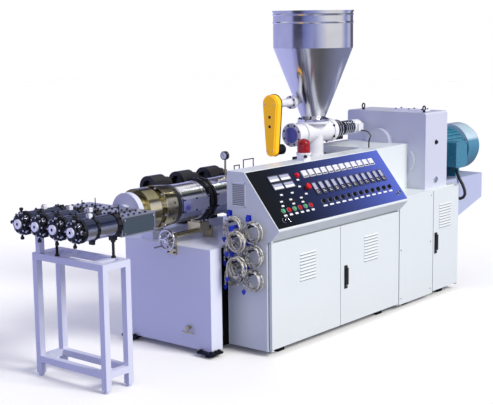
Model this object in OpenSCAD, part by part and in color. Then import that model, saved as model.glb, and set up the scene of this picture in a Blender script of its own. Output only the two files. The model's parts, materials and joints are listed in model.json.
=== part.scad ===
// Conical twin screw pipe extruder with a four strand die on its own stand.
// X runs from the die to the motor, Y from the doors to the far side, Z up.

/* [Layout] */
// Height of the base top above the floor
base_top = 786; // [770:1:800]
// Height of the screw axis above the base top
axis_rise = 294; // [280:1:310]
// Distance of the screw axis behind the door faces
axis_y = 720; // [700:5:740]
// Length of the control cabinet
cab_len = 1700; // [1600:10:1800]
// Length of the rear cabinet
rear_len = 975; // [925:5:1025]

/* [Machine base] */
// Length of the base that stands out in front of the control cabinet
base_front = 256; // [230:2:300]
// Length of the end block at the front of the base
end_block = 120; // [100:1:130]
// Distance of the near side of the end block behind the door faces
block_y = 340; // [330:1:350]
// Distance of the far side of the base behind the door faces
base_far = 1190; // [1150:5:1230]
// Clear height under the base and the cabinets
foot_h = 40; // [36:1:44]

/* [Control cabinet] */
// Depth of the cabinets
cab_depth = 395; // [385:1:405]
// Height of the control cabinet without the console
cab_top = 842; // [835:1:850]
// Thickness of the folded sheet
sheet = 4; // [3:0.5:6]
// Width of the folded rim round the door openings
rim_w = 34; // [30:1:38]
// Thickness of the doors
door_t = 22; // [18:1:24]
// Gap between the two doors
door_gap = 6; // [6:0.5:8]
// Width of a louvre field
vent_w = 196; // [180:1:210]
// Number of louvres in a field
vent_n = 9; // [6:1:10]

/* [Console] */
// How far the lower edge of the panel stands out in front of the doors
lip_out = 76; // [60:1:90]
// Height of the lower edge of the panel above the cabinet
lip_rise = 93; // [85:1:100]
// Height of the panel from its lower to its upper edge
panel_rise = 385; // [370:1:400]
// Setback of the upper edge of the panel behind the doors
crest_y = 234; // [225:1:250]
// Number of heating zones on the panel
zones = 12; // [8:1:12]

/* [Rear cabinet] */
// Height of the rear cabinet
rear_top = 940; // [930:1:960]
// Length of the fixed panel beside the rear door
rear_panel = 529; // [500:1:560]

/* [Drive] */
// Height of the gearbox top
gear_top = 1590; // [1560:5:1620]
// Thickness of the gearbox along the axis
gear_t = 360; // [340:5:380]
// Height of the motor plinth
plinth_top = 935; // [925:1:940]
// Length of the motor plinth
plinth_len = 785; // [750:5:810]
// Height of the motor axis above its feet
shaft_h = 245; // [225:5:250]
// Distance of the motor axis behind the door faces
motor_y = 458; // [450:1:465]
// Length of the motor between bell and fan cowl
motor_len = 610; // [580:5:630]
// Number of ribs round the motor
motor_ribs = 32; // [20:4:36]

/* [Barrel] */
// Radius of the heater shells
heater_r = 140; // [134:1:145]
// Radius of the black clamp rings
clamp_r = 160; // [156:1:164]
// Width of the black clamp rings
clamp_l = 70; // [60:1:80]
// Number of heater shells
heater_n = 4; // [3:1:5]
// Radius of the brass flange
brass_r = 155; // [150:1:160]

/* [Hopper and feeder] */
// Height of the straight part of the hopper
drum_h = 300; // [280:5:320]
// Height of the cone of the hopper
cone_h = 587; // [560:1:610]
// Radius of the hopper
hopper_r = 328; // [310:2:340]
// Wall of the hopper
hopper_wall = 4; // [3:0.5:6]
// Radius of the hopper outlet
outlet_r = 95; // [90:1:100]
// Radius of the feeder's cross tube
feeder_r = 86; // [80:1:90]

/* [Die] */
// Distance from one strand to the next
strand_pitch = 172; // [168:1:185]
// Radius of the strand heaters
strand_r = 74; // [68:1:78]
// Width of a feed bar
bar_w = 130; // [120:1:140]
// Height of a feed bar
bar_h = 134; // [128:1:140]
// Length of a feed bar
bar_len = 267; // [250:1:280]

/* [Die stand] */
// Free length of the jack rods between stand and die
jack_len = 117; // [105:1:125]
// Length of the stand along Y
stand_len = 690; // [670:5:710]
// Width of the stand along X
stand_w = 246; // [236:2:256]
// Square tube of the stand
stand_tube = 45; // [40:1:50]

/* [Leads] */
// Diameter of a heater lead
lead_d = 12; // [11:0.5:13]
// Radius of the turns of a coiled lead
coil_r = 68; // [64:1:68]
// Number of turns of a coiled lead
coil_turns = 4; // [3:1:4]

/* [Hidden] */
$fn = 64;
eps = 1;

// heights
axis_h = base_top + axis_rise;
lip_h = cab_top + lip_rise;
crest_h = lip_h + panel_rise;
cover_top = axis_h + 245;
motor_h = plinth_top + shaft_h;

// stations along X, measured from the left edge of the control cabinet
rear_x = cab_len + rear_len;
gear_x1 = rear_x - 125;
gear_x0 = gear_x1 - gear_t;
bell_x1 = gear_x1 + 110;
motor_x1 = bell_x1 + motor_len;
cowl_l = 240;
cowl_x1 = motor_x1 + cowl_l;
feed_x0 = cab_len - 330;
feed_x = cab_len - 210;

// doors
hinge_in = 24;
edge_in = 11;
hinge_y = door_t / 2;
pin_r = 4;
pin_in = 22;
pin_gap = 0.3;
front_y = door_t + 10;
lug_t = 8;
lug_half = 12;
lug_gap = 5;
door_z0 = foot_h + lug_t + lug_gap;
door_z1 = cab_top - lug_t - lug_gap;
rear_z1 = rear_top - lug_t - lug_gap;
seam_x = cab_len / 2 + 8;
left_x0 = hinge_in - edge_in;
left_x1 = seam_x - door_gap / 2;
right_x0 = seam_x + door_gap / 2;
right_x1 = cab_len - hinge_in + edge_in;
rear_x0 = cab_len + rear_panel + 10;
rear_x1 = rear_x - hinge_in + edge_in;
vent_step = 24;
vent_h = vent_n * vent_step;
vent_drop = 115;
handle_size = [34, 8, 176];

// console slope and the instruments on it
slope_dy = crest_y + lip_out;
slope_a = atan2(panel_rise, slope_dy);
slope_len = sqrt(slope_dy * slope_dy + panel_rise * panel_rise);
panel_t = 4;
panel_in = 8;
zone_x0 = 620;
zone_x1 = cab_len - 189;
zone_step = (zone_x1 - zone_x0) / (zones - 1);
zone_shift = zone_step / 3;
meter_s = slope_len - 105;
meter_w = zone_step * 0.74;
controller_s = meter_s - 135;
controller_w = zone_step * 0.62;
switch_s = controller_s - 114;
group_x = 190;

// drive
motor_core = shaft_h - 67;
motor_rib = shaft_h - 47;
motor_shield = shaft_h - 40;
cowl_r = shaft_h - 27;
drive_far = axis_y + 136;
gear_near = 60;

// barrel, a stack of rings along the screw axis
brass_x0 = -605;
brass_x1 = -488;
brass_x2 = -442;
brass_x3 = -322;
heat_x0 = -275;
tail_l = 200;
heat_l = (feed_x0 - heat_x0 - tail_l) / heater_n - clamp_l;
heat_step = heat_l + clamp_l;

// barrel carrier and handwheel
wheel_y = axis_y - 20;
wheel_z = base_top + 42;
wheel_r = 72;
wheel_shaft = 9;
wheel_plate = 16;
wheel_x = -base_front - 60;

// blowers
blow_y = axis_y + 290;
blow_z = base_top + 384;
blow_x0 = -115;
blow_step = 308;
blow_r = 84;
duct_h = 60;

// feeder and hopper
feed_top = axis_h + 170;
feed_z = feed_top + 205;
neck_z = feed_top + 300;
flange_t = 18;
flange_r = 130;
hopper_z = neck_z + flange_t;
knee_z = hopper_z + cone_h;
hopper_top = knee_z + drum_h;
drive_x0 = feed_x + 240;
feeder_end = gear_x0 - 40;
reducer_l = 120;
cap_l = 120;

// agitator drive
agitator_y = axis_y + 72;
guard_x1 = feed_x - 427;
guard_x0 = guard_x1 - 65;
guard_z0 = feed_top + 90;
guard_z1 = hopper_z + 146;
guard_r0 = 46;
guard_r1 = 76;
guard_back = 6;

// die
tip_x = -1440;
plate_x1 = -738;
plate_l = 45;
disc_x0 = plate_x1 + 40;
disc_x1 = disc_x0 + 45;
bar_x1 = plate_x1 - plate_l;
bar_x0 = bar_x1 - bar_len;
strand_n = 4;
strand_z = axis_h;
band_x0 = bar_x0 - 40;
band_x1 = bar_x0 - 195;
band_x2 = bar_x0 - 215;
head_x0 = bar_x0 - 303;
head_x1 = head_x0 - 25;
head_x2 = head_x1 - 42;
bush_x = tip_x + 12;
bar_drop = 16;
lug_drop = 30;
lug_w = 40;

// die stand
stand_h = strand_z - strand_r - lug_drop - jack_len;
stand_x0 = band_x2 - 15;
stand_y0 = axis_y - stand_len / 2 - 32;
jack_at = [[(bar_x0 + band_x0) / 2, 0], [(band_x1 + band_x2) / 2, 2]];
post_x = (band_x1 + band_x2) / 2;

// coiled leads on the side wall: centre of each coil as [y, z], and how far it stands off the wall
coil_at = [[300, 925], [122, 905], [298, 750], [120, 732], [296, 575], [122, 560], [212, 838], [210, 655]];
coil_off = [12, 12, 12, 12, 12, 12, 90, 90];
coil_pitch = lead_d + 1;
coil_slack = 10;
coil_in_r = coil_r - coil_slack - lead_d / 2;
coil_out_r = coil_r + coil_slack + lead_d / 2;
coil_w = coil_turns * coil_pitch + lead_d;
socket_rise = 93;
gland_h = 24;
tail_drop = 74;
plug_h = 34;
seat = 20;

// motor conduit and feeder lead, points along their routes
conduit_d = 28;
conduit_pts = [[2985, 205, 1050], [2985, 205, 1020], [2990, 200, 980], [3005, 185, 930], [3018, 160, 880],
    [3022, 140, 830], [3018, 132, 790], [3010, 145, 760], [3004, 172, 748], [3004, 200, 748]];
feeder_lead_d = 12;
feeder_lead_pts = [[2085, 642, 1425], [2085, 617, 1425], [2076, 585, 1423], [2050, 548, 1418],
    [2005, 505, 1411], [1955, 462, 1406], [1905, 424, 1404], [1855, 392, 1403], [1810, 367, 1402],
    [1775, 350, 1394], [1752, 340, 1374], [1743, 335, 1350], [1743, 335, 1325]];

// beacon
beacon_x = 815;
beacon_y = (crest_y + cab_depth) / 2;
beacon_h = 58;

// shift that puts the origin under the middle of the whole machine
mid_x = (tip_x + cowl_x1) / 2;
foot_out = 30;
mid_y = (base_far + foot_out - lip_out) / 2;

// everything is drawn from the cabinet corner and moved to the shared origin
module placed() {
    translate([-mid_x, -mid_y, 0]) children();
}

module box(x0, x1, y0, y1, z0, z1) {
    translate([x0, y0, z0]) cube([x1 - x0, y1 - y0, z1 - z0]);
}

module rod_x(x0, x1, y, z, r) {
    translate([x0, y, z]) rotate([0, 90, 0]) cylinder(h = x1 - x0, r = r);
}

module rod_y(y0, y1, x, z, r) {
    translate([x, y0, z]) rotate([-90, 0, 0]) cylinder(h = y1 - y0, r = r);
}

module rod_z(z0, z1, x, y, r) {
    translate([x, y, z0]) cylinder(h = z1 - z0, r = r);
}

// a profile drawn as [y, z] points and drawn out along X
module along_x(x0, x1, points) {
    translate([x0, 0, 0]) rotate([90, 0, 90]) linear_extrude(height = x1 - x0) polygon(points);
}

// a profile drawn as [x, z] points and drawn out along Y
module along_y(y0, y1, points) {
    translate([0, y1, 0]) rotate([90, 0, 0]) linear_extrude(height = y1 - y0) polygon(points);
}

// a profile drawn as [radius, x] points and turned about a line along X
module turned_x(x, y, z, points) {
    translate([x, y, z]) rotate([0, 90, 0]) rotate_extrude() polygon(points);
}

// a round tube swept along a list of points
function unit(v) = v / norm(v);
function tangent(p, i) = unit(p[min(i + 1, len(p) - 1)] - p[max(i - 1, 0)]);
function side(t) = unit(cross(t, abs(t[2]) > 0.9 ? [1, 0, 0] : [0, 0, 1]));
function carry(u, t) = unit(u - t * (u * t));
function sides(p, i) = i == 0 ? side(tangent(p, 0)) : carry(sides(p, i - 1), tangent(p, i));
function ring(c, t, u, r, n) =
    [for (k = [0:n - 1]) c + r * (cos(360 * k / n) * u + sin(360 * k / n) * cross(t, u))];

module tube(points, r) {
    n = 10;
    m = len(points);
    corners = [for (i = [0:m - 1]) each ring(points[i], tangent(points, i), sides(points, i), r, n)];
    walls = [for (i = [0:m - 2]) for (k = [0:n - 1])
        [i * n + k, (i + 1) * n + k, (i + 1) * n + (k + 1) % n, i * n + (k + 1) % n]];
    start = [[for (k = [0:n - 1]) k]];
    end = [[for (k = [n - 1:-1:0]) (m - 1) * n + k]];
    polyhedron(corners, concat(walls, start, end));
}

// the sloping face of the console: x along it, y up it, z out of it
module on_slope() {
    translate([0, -lip_out, lip_h]) rotate([slope_a, 0, 0]) children();
}

// machine base
module base_frame() {
    color([0.66, 0.67, 0.82]) placed() union() {
        box(-base_front, -base_front + end_block, block_y, base_far, foot_h, base_top);
        box(-base_front + end_block - eps, rear_x, cab_depth, base_far, foot_h, base_top);
    }
}

module foot(x, y) {
    plate = [120, 150, 16];
    pad_r = 34;
    union() {
        translate([x, y, foot_h - plate[2]]) cube(plate);
        rod_z(0, foot_h - plate[2] + eps, x + plate[0] / 2, y + plate[1] / 2, pad_r);
    }
}

module base_feet() {
    foot_l = 120;
    foot_w = 150;
    pad = [80, 90];
    color([0.30, 0.30, 0.36]) placed() {
        foot(-base_front - 40, block_y - 40);
        for (x = [cab_len / 2, rear_x - foot_l]) foot(x, cab_depth + 20);
        for (x = [-base_front - 40, cab_len / 2, rear_x - foot_l]) foot(x, base_far + foot_out - foot_w);
        for (x = [150, cab_len - 250, cab_len + 150, rear_x - 250])
            box(x, x + pad[0], 60, 60 + pad[1], 0, foot_h);
    }
}

// closes the gap between the end block and the control cabinet
module gap_strip() {
    strip_t = 6;
    side_gap = 8;
    top_gap = 20;
    color([0.02, 0.02, 0.02]) placed()
        box(-base_front + end_block, -side_gap, cab_depth - strip_t, cab_depth, foot_h, base_top - top_gap);
}

module drain_valve() {
    y = block_y + 202;
    z = foot_h + 156;
    color([0.72, 0.58, 0.28]) placed() union() {
        rod_x(-base_front - 22, -base_front, y, z, 11);
        rod_x(-base_front - 40, -base_front - 21, y, z, 18);
        box(-base_front - 36, -base_front - 28, y - 55, y + 55, z - 40, z - 30);
        rod_z(z - 36, z, -base_front - 32, y, 6);
    }
}

// cabinets and doors
module hinge_lugs(x, z_low, z_high) {
    reach = lug_t + lug_gap + pin_in - 2;
    for (z = [z_low, z_high - lug_t])
        box(x - lug_half, x + lug_half, 0, front_y + sheet, z, z + lug_t);
    rod_z(z_low, z_low + reach, x, hinge_y, pin_r);
    rod_z(z_high - reach, z_high, x, hinge_y, pin_r);
}

module cabinet_shell(x0, x1, z1) {
    difference() {
        box(x0, x1, front_y, cab_depth, foot_h, z1);
        box(x0 + sheet, x1 - sheet, front_y + sheet, cab_depth - sheet, foot_h + sheet, z1 - sheet);
        box(x0 + rim_w, x1 - rim_w, front_y - eps, front_y + sheet + eps, foot_h + rim_w, z1 - rim_w);
    }
}

module control_cabinet() {
    color([0.88, 0.88, 0.93]) placed() union() {
        cabinet_shell(0, cab_len, cab_top);
        hinge_lugs(hinge_in, foot_h, cab_top);
        hinge_lugs(cab_len - hinge_in, foot_h, cab_top);
    }
}

// a field of pressed louvres: a slot with a sloping hood over it
module louvre_hoods(x, z) {
    hood_h = 15;
    hood_out = 6;
    for (i = [0:vent_n - 1])
        along_x(x, x + vent_w, [
            [eps, z + i * vent_step], [-hood_out, z + i * vent_step],
            [-hood_out, z + i * vent_step + 2], [eps, z + i * vent_step + hood_h]
        ]);
}

module louvre_slots(x, z) {
    slot_h = 5;
    slot_in = 8;
    for (i = [0:vent_n - 1])
        box(x + slot_in, x + vent_w - slot_in, -eps, door_t + eps,
            z + i * vent_step - slot_h, z + i * vent_step);
}

module door(x0, x1, z1, hinge_x, vent_x) {
    vent_z = z1 - vent_drop - vent_h;
    difference() {
        union() {
            box(x0, x1, 0, door_t, door_z0, z1);
            louvre_hoods(vent_x, vent_z);
        }
        louvre_slots(vent_x, vent_z);
        rod_z(door_z0 - eps, door_z0 + pin_in, hinge_x, hinge_y, pin_r + pin_gap);
        rod_z(z1 - pin_in, z1 + eps, hinge_x, hinge_y, pin_r + pin_gap);
    }
}

module control_door_left() {
    color([0.90, 0.90, 0.95]) placed()
        door(left_x0, left_x1, door_z1, hinge_in, left_x0 + 332);
}

module control_door_right() {
    color([0.90, 0.90, 0.95]) placed()
        door(right_x0, right_x1, door_z1, cab_len - hinge_in, right_x0 + 318);
}

module lock_handle(x, z1) {
    lever = [22, 14, 132];
    lift = 30;
    z = (door_z0 + z1) / 2 - 106;
    box(x, x + handle_size[0], -handle_size[1], 0, z, z + handle_size[2]);
    translate([x + (handle_size[0] - lever[0]) / 2, -handle_size[1] - lever[1], z + lift]) cube(lever);
}

module control_handle() {
    color([0.10, 0.10, 0.12]) placed() lock_handle(right_x0 + 48, door_z1);
}

module console() {
    lip_t = 12;
    vent_y0 = crest_y - 6;
    vent_y1 = cab_depth - 50;
    slit_n = 12;
    slit_step = 13;
    slit_deep = 6;
    slit_h = 7;
    slit_z = crest_h - 240;
    color([0.86, 0.86, 0.92]) placed() difference() {
        along_x(0, cab_len, [
            [0, cab_top], [cab_depth, cab_top], [cab_depth, crest_h], [crest_y, crest_h],
            [-lip_out, lip_h], [-lip_out, lip_h - lip_t]
        ]);
        for (i = [0:slit_n - 1])
            box(-eps, slit_deep, vent_y0, vent_y1, slit_z + i * slit_step, slit_z + i * slit_step + slit_h);
    }
}

module control_panel() {
    color([0.08, 0.09, 0.20]) placed() on_slope()
        translate([panel_in, panel_in, 0])
            cube([cab_len - 2 * panel_in, slope_len - 2 * panel_in, panel_t]);
}

// a framed instrument with its window set back
module instrument(size, frame_w) {
    window_in = 2;
    difference() {
        cube(size);
        translate([frame_w, frame_w, size[2] - window_in])
            cube([size[0] - 2 * frame_w, size[1] - 2 * frame_w, window_in + eps]);
    }
}

module zone_row(x0, s, size, frame_w) {
    for (i = [0:zones - 1])
        translate([x0 + i * zone_step - size[0] / 2, s - size[1] / 2, panel_t]) instrument(size, frame_w);
}

module panel_meters() {
    color([0.95, 0.95, 0.93]) placed() on_slope()
        zone_row(zone_x0, meter_s, [meter_w, meter_w, 10], 4);
}

module panel_controllers() {
    color([0.55, 0.56, 0.66]) placed() on_slope()
        zone_row(zone_x0 + zone_shift, controller_s, [controller_w, 104, 12], 5);
}

module selector(x, s) {
    translate([x, s, panel_t]) union() {
        cylinder(h = 8, r = 17);
        translate([0, 0, 8 - eps]) cylinder(h = 10, r = 13);
        translate([-4, -15, 8 - eps]) cube([8, 30, 18]);
    }
}

module panel_switches() {
    color([0.05, 0.05, 0.06]) placed() on_slope() {
        for (i = [0:zones - 1]) selector(zone_x0 + zone_shift + i * zone_step, switch_s);
        selector(111, 62);
    }
}

module panel_displays() {
    size = [120, 56, 10];
    color([0.82, 0.82, 0.86]) placed() on_slope()
        for (i = [0:1]) for (j = [0:1])
            translate([group_x + i * 130, slope_len - 194 + j * 66, panel_t]) instrument(size, 6);
}

module push_button(x, s) {
    translate([x, s, panel_t]) union() {
        cylinder(h = 6, r = 17);
        translate([0, 0, 6 - eps]) cylinder(h = 8, r = 12);
    }
}

module push_buttons(first) {
    step = 65.6;
    for (i = [first:2:5]) push_button(156 + i * step, 134);
}

module panel_green_buttons() {
    color([0.35, 0.70, 0.42]) placed() on_slope() push_buttons(0);
}

module panel_red_buttons() {
    stem = 24;
    color([0.80, 0.15, 0.15]) placed() on_slope() {
        push_buttons(1);
        translate([525, meter_s + 2, panel_t]) union() {
            cylinder(h = 8, r = 20);
            translate([0, 0, 8 - eps]) cylinder(h = 12, r = 15);
        }
        translate([547, controller_s + 20, panel_t]) union() {
            cylinder(h = stem, r = 12);
            translate([0, 0, stem - eps]) cylinder(h = 14, r = 24);
        }
    }
}

module rear_cabinet() {
    panel_x1 = cab_len + rear_panel;
    color([0.88, 0.88, 0.93]) placed() union() {
        box(cab_len, panel_x1 + eps, 0, cab_depth, foot_h, rear_top);
        cabinet_shell(panel_x1, rear_x, rear_top);
        hinge_lugs(rear_x - hinge_in, foot_h, rear_top);
    }
}

module rear_door() {
    color([0.90, 0.90, 0.95]) placed()
        door(rear_x0, rear_x1, rear_z1, rear_x - hinge_in, (rear_x0 + rear_x1 - vent_w) / 2 - 20);
}

module rear_handle() {
    color([0.10, 0.10, 0.12]) placed() lock_handle(rear_x0 + 20, rear_z1);
}

// drive train
module drive_cover() {
    arch_y = axis_y - 213;
    arch_r = 118;
    arch_l = 60;
    color([0.88, 0.88, 0.93]) placed() union() {
        along_x(cab_len, gear_x0, [
            [crest_y, rear_top], [cab_depth, rear_top], [cab_depth, base_top],
            [drive_far, base_top], [drive_far, cover_top], [crest_y, cover_top]
        ]);
        rod_x(gear_x0 - arch_l, gear_x0, arch_y, cover_top, arch_r);
    }
}

module gearbox() {
    bevel = 14;
    color([0.66, 0.67, 0.82]) placed() union() {
        along_x(gear_x0, gear_x1, [
            [gear_near, rear_top], [cab_depth, rear_top], [cab_depth, base_top],
            [drive_far, base_top], [drive_far, gear_top - bevel], [drive_far - bevel, gear_top],
            [gear_near + bevel, gear_top], [gear_near, gear_top - bevel]
        ]);
        rod_y(gear_near - 6, gear_near + eps, gear_x0 + 170, rear_top + 70, 26);
    }
}

module eyebolt(x, y) {
    ring_r = 20;
    wire_r = 6;
    stem_h = 14;
    translate([x, y, gear_top]) union() {
        cylinder(h = stem_h, r = 12);
        translate([0, 0, stem_h + ring_r]) rotate([90, 0, 0])
            rotate_extrude() translate([ring_r, 0]) circle(r = wire_r, $fn = 24);
    }
}

module eyebolts() {
    color([0.45, 0.46, 0.55]) placed() {
        eyebolt(gear_x0 + 70, drive_far - 120);
        eyebolt(gear_x0 + 70, gear_near + 60);
    }
}

module motor_body() {
    rib_t = 7;
    bell_r = 150;
    shield_l = 60;
    foot_l = 70;
    foot_w = 90;
    foot_at = 150;
    rib_x0 = bell_x1 + shield_l - eps;
    color([0.20, 0.50, 0.58]) placed() union() {
        rod_x(gear_x1, bell_x1 + eps, motor_y, motor_h, bell_r);
        rod_x(bell_x1, bell_x1 + shield_l, motor_y, motor_h, motor_shield);
        rod_x(rib_x0, motor_x1, motor_y, motor_h, motor_core);
        for (i = [0:motor_ribs - 1])
            translate([rib_x0, motor_y, motor_h]) rotate([i * 360 / motor_ribs, 0, 0])
                translate([0, motor_core - 10, -rib_t / 2])
                    cube([motor_x1 - rib_x0 - 30, motor_rib - motor_core + 10, rib_t]);
        for (x = [bell_x1 + 130, motor_x1 - 200]) for (s = [-1, 1])
            box(x, x + foot_l, motor_y + s * foot_at - foot_w / 2, motor_y + s * foot_at + foot_w / 2,
                plinth_top, motor_h - motor_core / 2);
    }
}

module motor_cowl() {
    wall = 14;
    deep = 60;
    color([0.20, 0.50, 0.58]) placed() difference() {
        turned_x(motor_x1, motor_y, motor_h, [
            [0, 0], [cowl_r, 0], [cowl_r, cowl_l - 44], [cowl_r - 12, cowl_l - 14],
            [cowl_r - 44, cowl_l], [0, cowl_l]
        ]);
        for (r = [70, 110, 150])
            turned_x(cowl_x1 - wall, motor_y, motor_h, [[r, 0], [r + 22, 0], [r + 22, deep], [r, deep]]);
    }
}

module terminal_box() {
    x0 = bell_x1 + 212;
    size = [186, 220];
    lid = 12;
    reach = motor_rib + 105;
    z0 = motor_h - 130;
    color([0.18, 0.46, 0.55]) placed() union() {
        difference() {
            box(x0, x0 + size[0], motor_y - reach, motor_y - 120, z0, z0 + size[1]);
            rod_x(x0 - eps, x0 + size[0] + eps, motor_y, motor_h, motor_rib + 1);
        }
        box(x0 - 6, x0 + size[0] + 6, motor_y - reach - lid, motor_y - reach + eps, z0 - 6, z0 + size[1] + 6);
    }
}

module motor_plinth() {
    half_w = 258;
    root_h = 449;
    end_h = 229;
    color([0.66, 0.67, 0.82]) placed()
        along_y(motor_y - half_w, motor_y + half_w, [
            [rear_x, plinth_top - root_h], [rear_x + plinth_len, plinth_top - end_h],
            [rear_x + plinth_len, plinth_top], [rear_x, plinth_top]
        ]);
}

// barrel
module barrel_heaters() {
    cover_h = 104;
    cover_in = 8;
    cover_out = 10;
    color([0.80, 0.80, 0.84]) placed() {
        for (i = [0:heater_n - 1]) union() {
            rod_x(heat_x0 + i * heat_step, heat_x0 + i * heat_step + heat_l, axis_y, axis_h, heater_r);
            box(heat_x0 + i * heat_step + cover_in, heat_x0 + i * heat_step + heat_l - cover_in,
                axis_y - heater_r - cover_out, axis_y, axis_h - cover_h / 2, axis_h + cover_h / 2);
        }
        rod_x(feed_x0 - tail_l, feed_x0, axis_y, axis_h, heater_r - 25);
    }
}

module barrel_clamps() {
    seal_r = heater_r + 6;
    groove = 8;
    color([0.08, 0.08, 0.10]) placed() {
        for (i = [0:heater_n - 1])
            turned_x(heat_x0 + i * heat_step + heat_l, axis_y, axis_h, [
                [0, 0], [clamp_r, 0], [clamp_r, clamp_l / 3], [clamp_r - groove, clamp_l / 3],
                [clamp_r - groove, 2 * clamp_l / 3], [clamp_r, 2 * clamp_l / 3],
                [clamp_r, clamp_l], [0, clamp_l]
            ]);
        rod_x(brass_x3, heat_x0, axis_y, axis_h, seal_r);
    }
}

module brass_covers() {
    root_r = brass_r - 50;
    neck_r = brass_r - 27;
    collar_r = brass_r + 5;
    end_r = brass_r - 5;
    edge = 5;
    color([0.72, 0.60, 0.30]) placed()
        turned_x(disc_x1, axis_y, axis_h, [
            [0, 0], [root_r, 0], [root_r, brass_x0 - disc_x1],
            [brass_r, brass_x0 - disc_x1], [brass_r, brass_x1 - disc_x1 - edge],
            [brass_r - edge, brass_x1 - disc_x1], [neck_r, brass_x1 - disc_x1],
            [neck_r, brass_x2 - disc_x1], [collar_r - edge, brass_x2 - disc_x1],
            [collar_r, brass_x2 - disc_x1 + edge], [end_r, brass_x3 - disc_x1], [0, brass_x3 - disc_x1]
        ]);
}

module die_disc() {
    disc_r = 138;
    neck_r = 60;
    color([0.62, 0.62, 0.80]) placed() union() {
        rod_x(plate_x1, disc_x0 + eps, axis_y, axis_h, neck_r);
        rod_x(disc_x0, disc_x1, axis_y, axis_h, disc_r);
    }
}

module barrel_support() {
    plate_w = 84;
    plate_up = 94;
    plate_down = 70;
    rod_r = 11;
    rod_y = 28;
    rod_z0 = base_top + 64;
    saddle_x = heat_x0 + heat_l;
    saddle_z1 = rod_z0 + 62;
    saddle_w = 125;
    rear_x0 = saddle_x + clamp_l + 30;
    rear_l = 24;
    color([0.72, 0.60, 0.30]) placed() union() {
        difference() {
            box(-base_front - wheel_plate, -base_front, wheel_y - plate_w / 2, wheel_y + plate_w / 2,
                base_top - plate_down, base_top + plate_up);
            rod_x(-base_front - wheel_plate - eps, -base_front + eps,
                wheel_y, wheel_z, wheel_shaft + pin_gap);
        }
        for (s = [-1, 1])
            rod_x(-base_front - eps, rear_x0 + eps, wheel_y + s * rod_y, rod_z0, rod_r);
        box(rear_x0, rear_x0 + rear_l, wheel_y - plate_w / 2, wheel_y + plate_w / 2,
            base_top, rod_z0 + plate_w / 4);
        box(saddle_x - 20, saddle_x + clamp_l + 10, axis_y - saddle_w / 2, axis_y + saddle_w / 2,
            rod_z0 - rod_r, saddle_z1);
        difference() {
            box(saddle_x, saddle_x + clamp_l / 3, axis_y - 40, axis_y + 40, saddle_z1 - eps, axis_h);
            rod_x(saddle_x - eps, saddle_x + clamp_l, axis_y, axis_h, clamp_r + pin_gap);
        }
    }
}

module handwheel() {
    wire_r = 8;
    hub_r = 20;
    spoke = 10;
    grip_l = 90;
    grip_r = 7;
    grip_a = 315;
    color([0.82, 0.82, 0.86]) placed() union() {
        translate([wheel_x, wheel_y, wheel_z]) rotate([0, 90, 0])
            rotate_extrude() translate([wheel_r, 0]) circle(r = wire_r, $fn = 24);
        rod_x(wheel_x - 14, -base_front - wheel_plate - 5, wheel_y, wheel_z, hub_r);
        rod_x(-base_front - wheel_plate - 6, -base_front - eps, wheel_y, wheel_z, wheel_shaft);
        for (i = [0:2]) translate([wheel_x, wheel_y, wheel_z]) rotate([i * 120, 0, 0])
            translate([-spoke / 2, 0, -spoke / 2]) cube([spoke, wheel_r, spoke]);
        translate([0, wheel_r * cos(grip_a), wheel_r * sin(grip_a)])
            rod_x(wheel_x - grip_l, wheel_x, wheel_y, wheel_z, grip_r);
    }
}

// blowers behind the barrel
module blower(x) {
    drum_l = 140;
    inlet_r = 52;
    duct = 42;
    difference() {
        union() {
            rod_x(x - drum_l / 2, x + drum_l / 2, blow_y, blow_z, blow_r);
            rod_x(x + drum_l / 2 - eps, x + drum_l / 2 + 70, blow_y, blow_z, blow_r - 26);
            box(x - duct, x + duct, blow_y - duct, blow_y + duct, base_top + duct_h, blow_z);
        }
        rod_x(x - drum_l / 2 - eps, x - drum_l / 2 + 34, blow_y, blow_z, inlet_r);
    }
}

module blowers() {
    color([0.06, 0.06, 0.07]) placed()
        for (i = [0:2]) blower(blow_x0 + i * blow_step);
}

module blower_duct() {
    half_w = 60;
    over = 90;
    color([0.66, 0.67, 0.82]) placed()
        box(blow_x0 - over, blow_x0 + 2 * blow_step + over, blow_y - half_w, blow_y + half_w,
            base_top, base_top + duct_h);
}

module gauge() {
    x = heat_x0 + heat_step + heat_l - 16;
    dial_r = 32;
    stem_h = 120;
    z = axis_h + heater_r + stem_h + dial_r;
    color([0.80, 0.66, 0.34]) placed() union() {
        rod_z(axis_h + heater_r, z - dial_r + 4, x, axis_y, 8);
        rod_z(axis_h + heater_r + 24, axis_h + heater_r + 46, x, axis_y, 14);
        difference() {
            rod_x(x - 14, x + 14, axis_y, z, dial_r);
            rod_x(x - 14 - eps, x - 10, axis_y, z, dial_r - 4);
        }
    }
}

// wire handles on the vent covers
module wire_hoop(x0, x1, h) {
    wire_r = 4;
    z = axis_h + heater_r;
    for (x = [x0, x1]) rod_z(z, z + h, x, axis_y, wire_r);
    rod_x(x0 - wire_r, x1 + wire_r, axis_y, z + h, wire_r);
}

module vent_handles() {
    x = heat_x0 + 2 * heat_step;
    color([0.80, 0.80, 0.84]) placed() {
        union() wire_hoop(x + 20, x + 80, 62);
        union() wire_hoop(x + 130, x + 250, 96);
    }
}

module feed_block() {
    half_w = 130;
    color([0.60, 0.60, 0.68]) placed()
        box(feed_x0, cab_len, axis_y - half_w, axis_y + half_w, base_top, feed_top);
}

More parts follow.
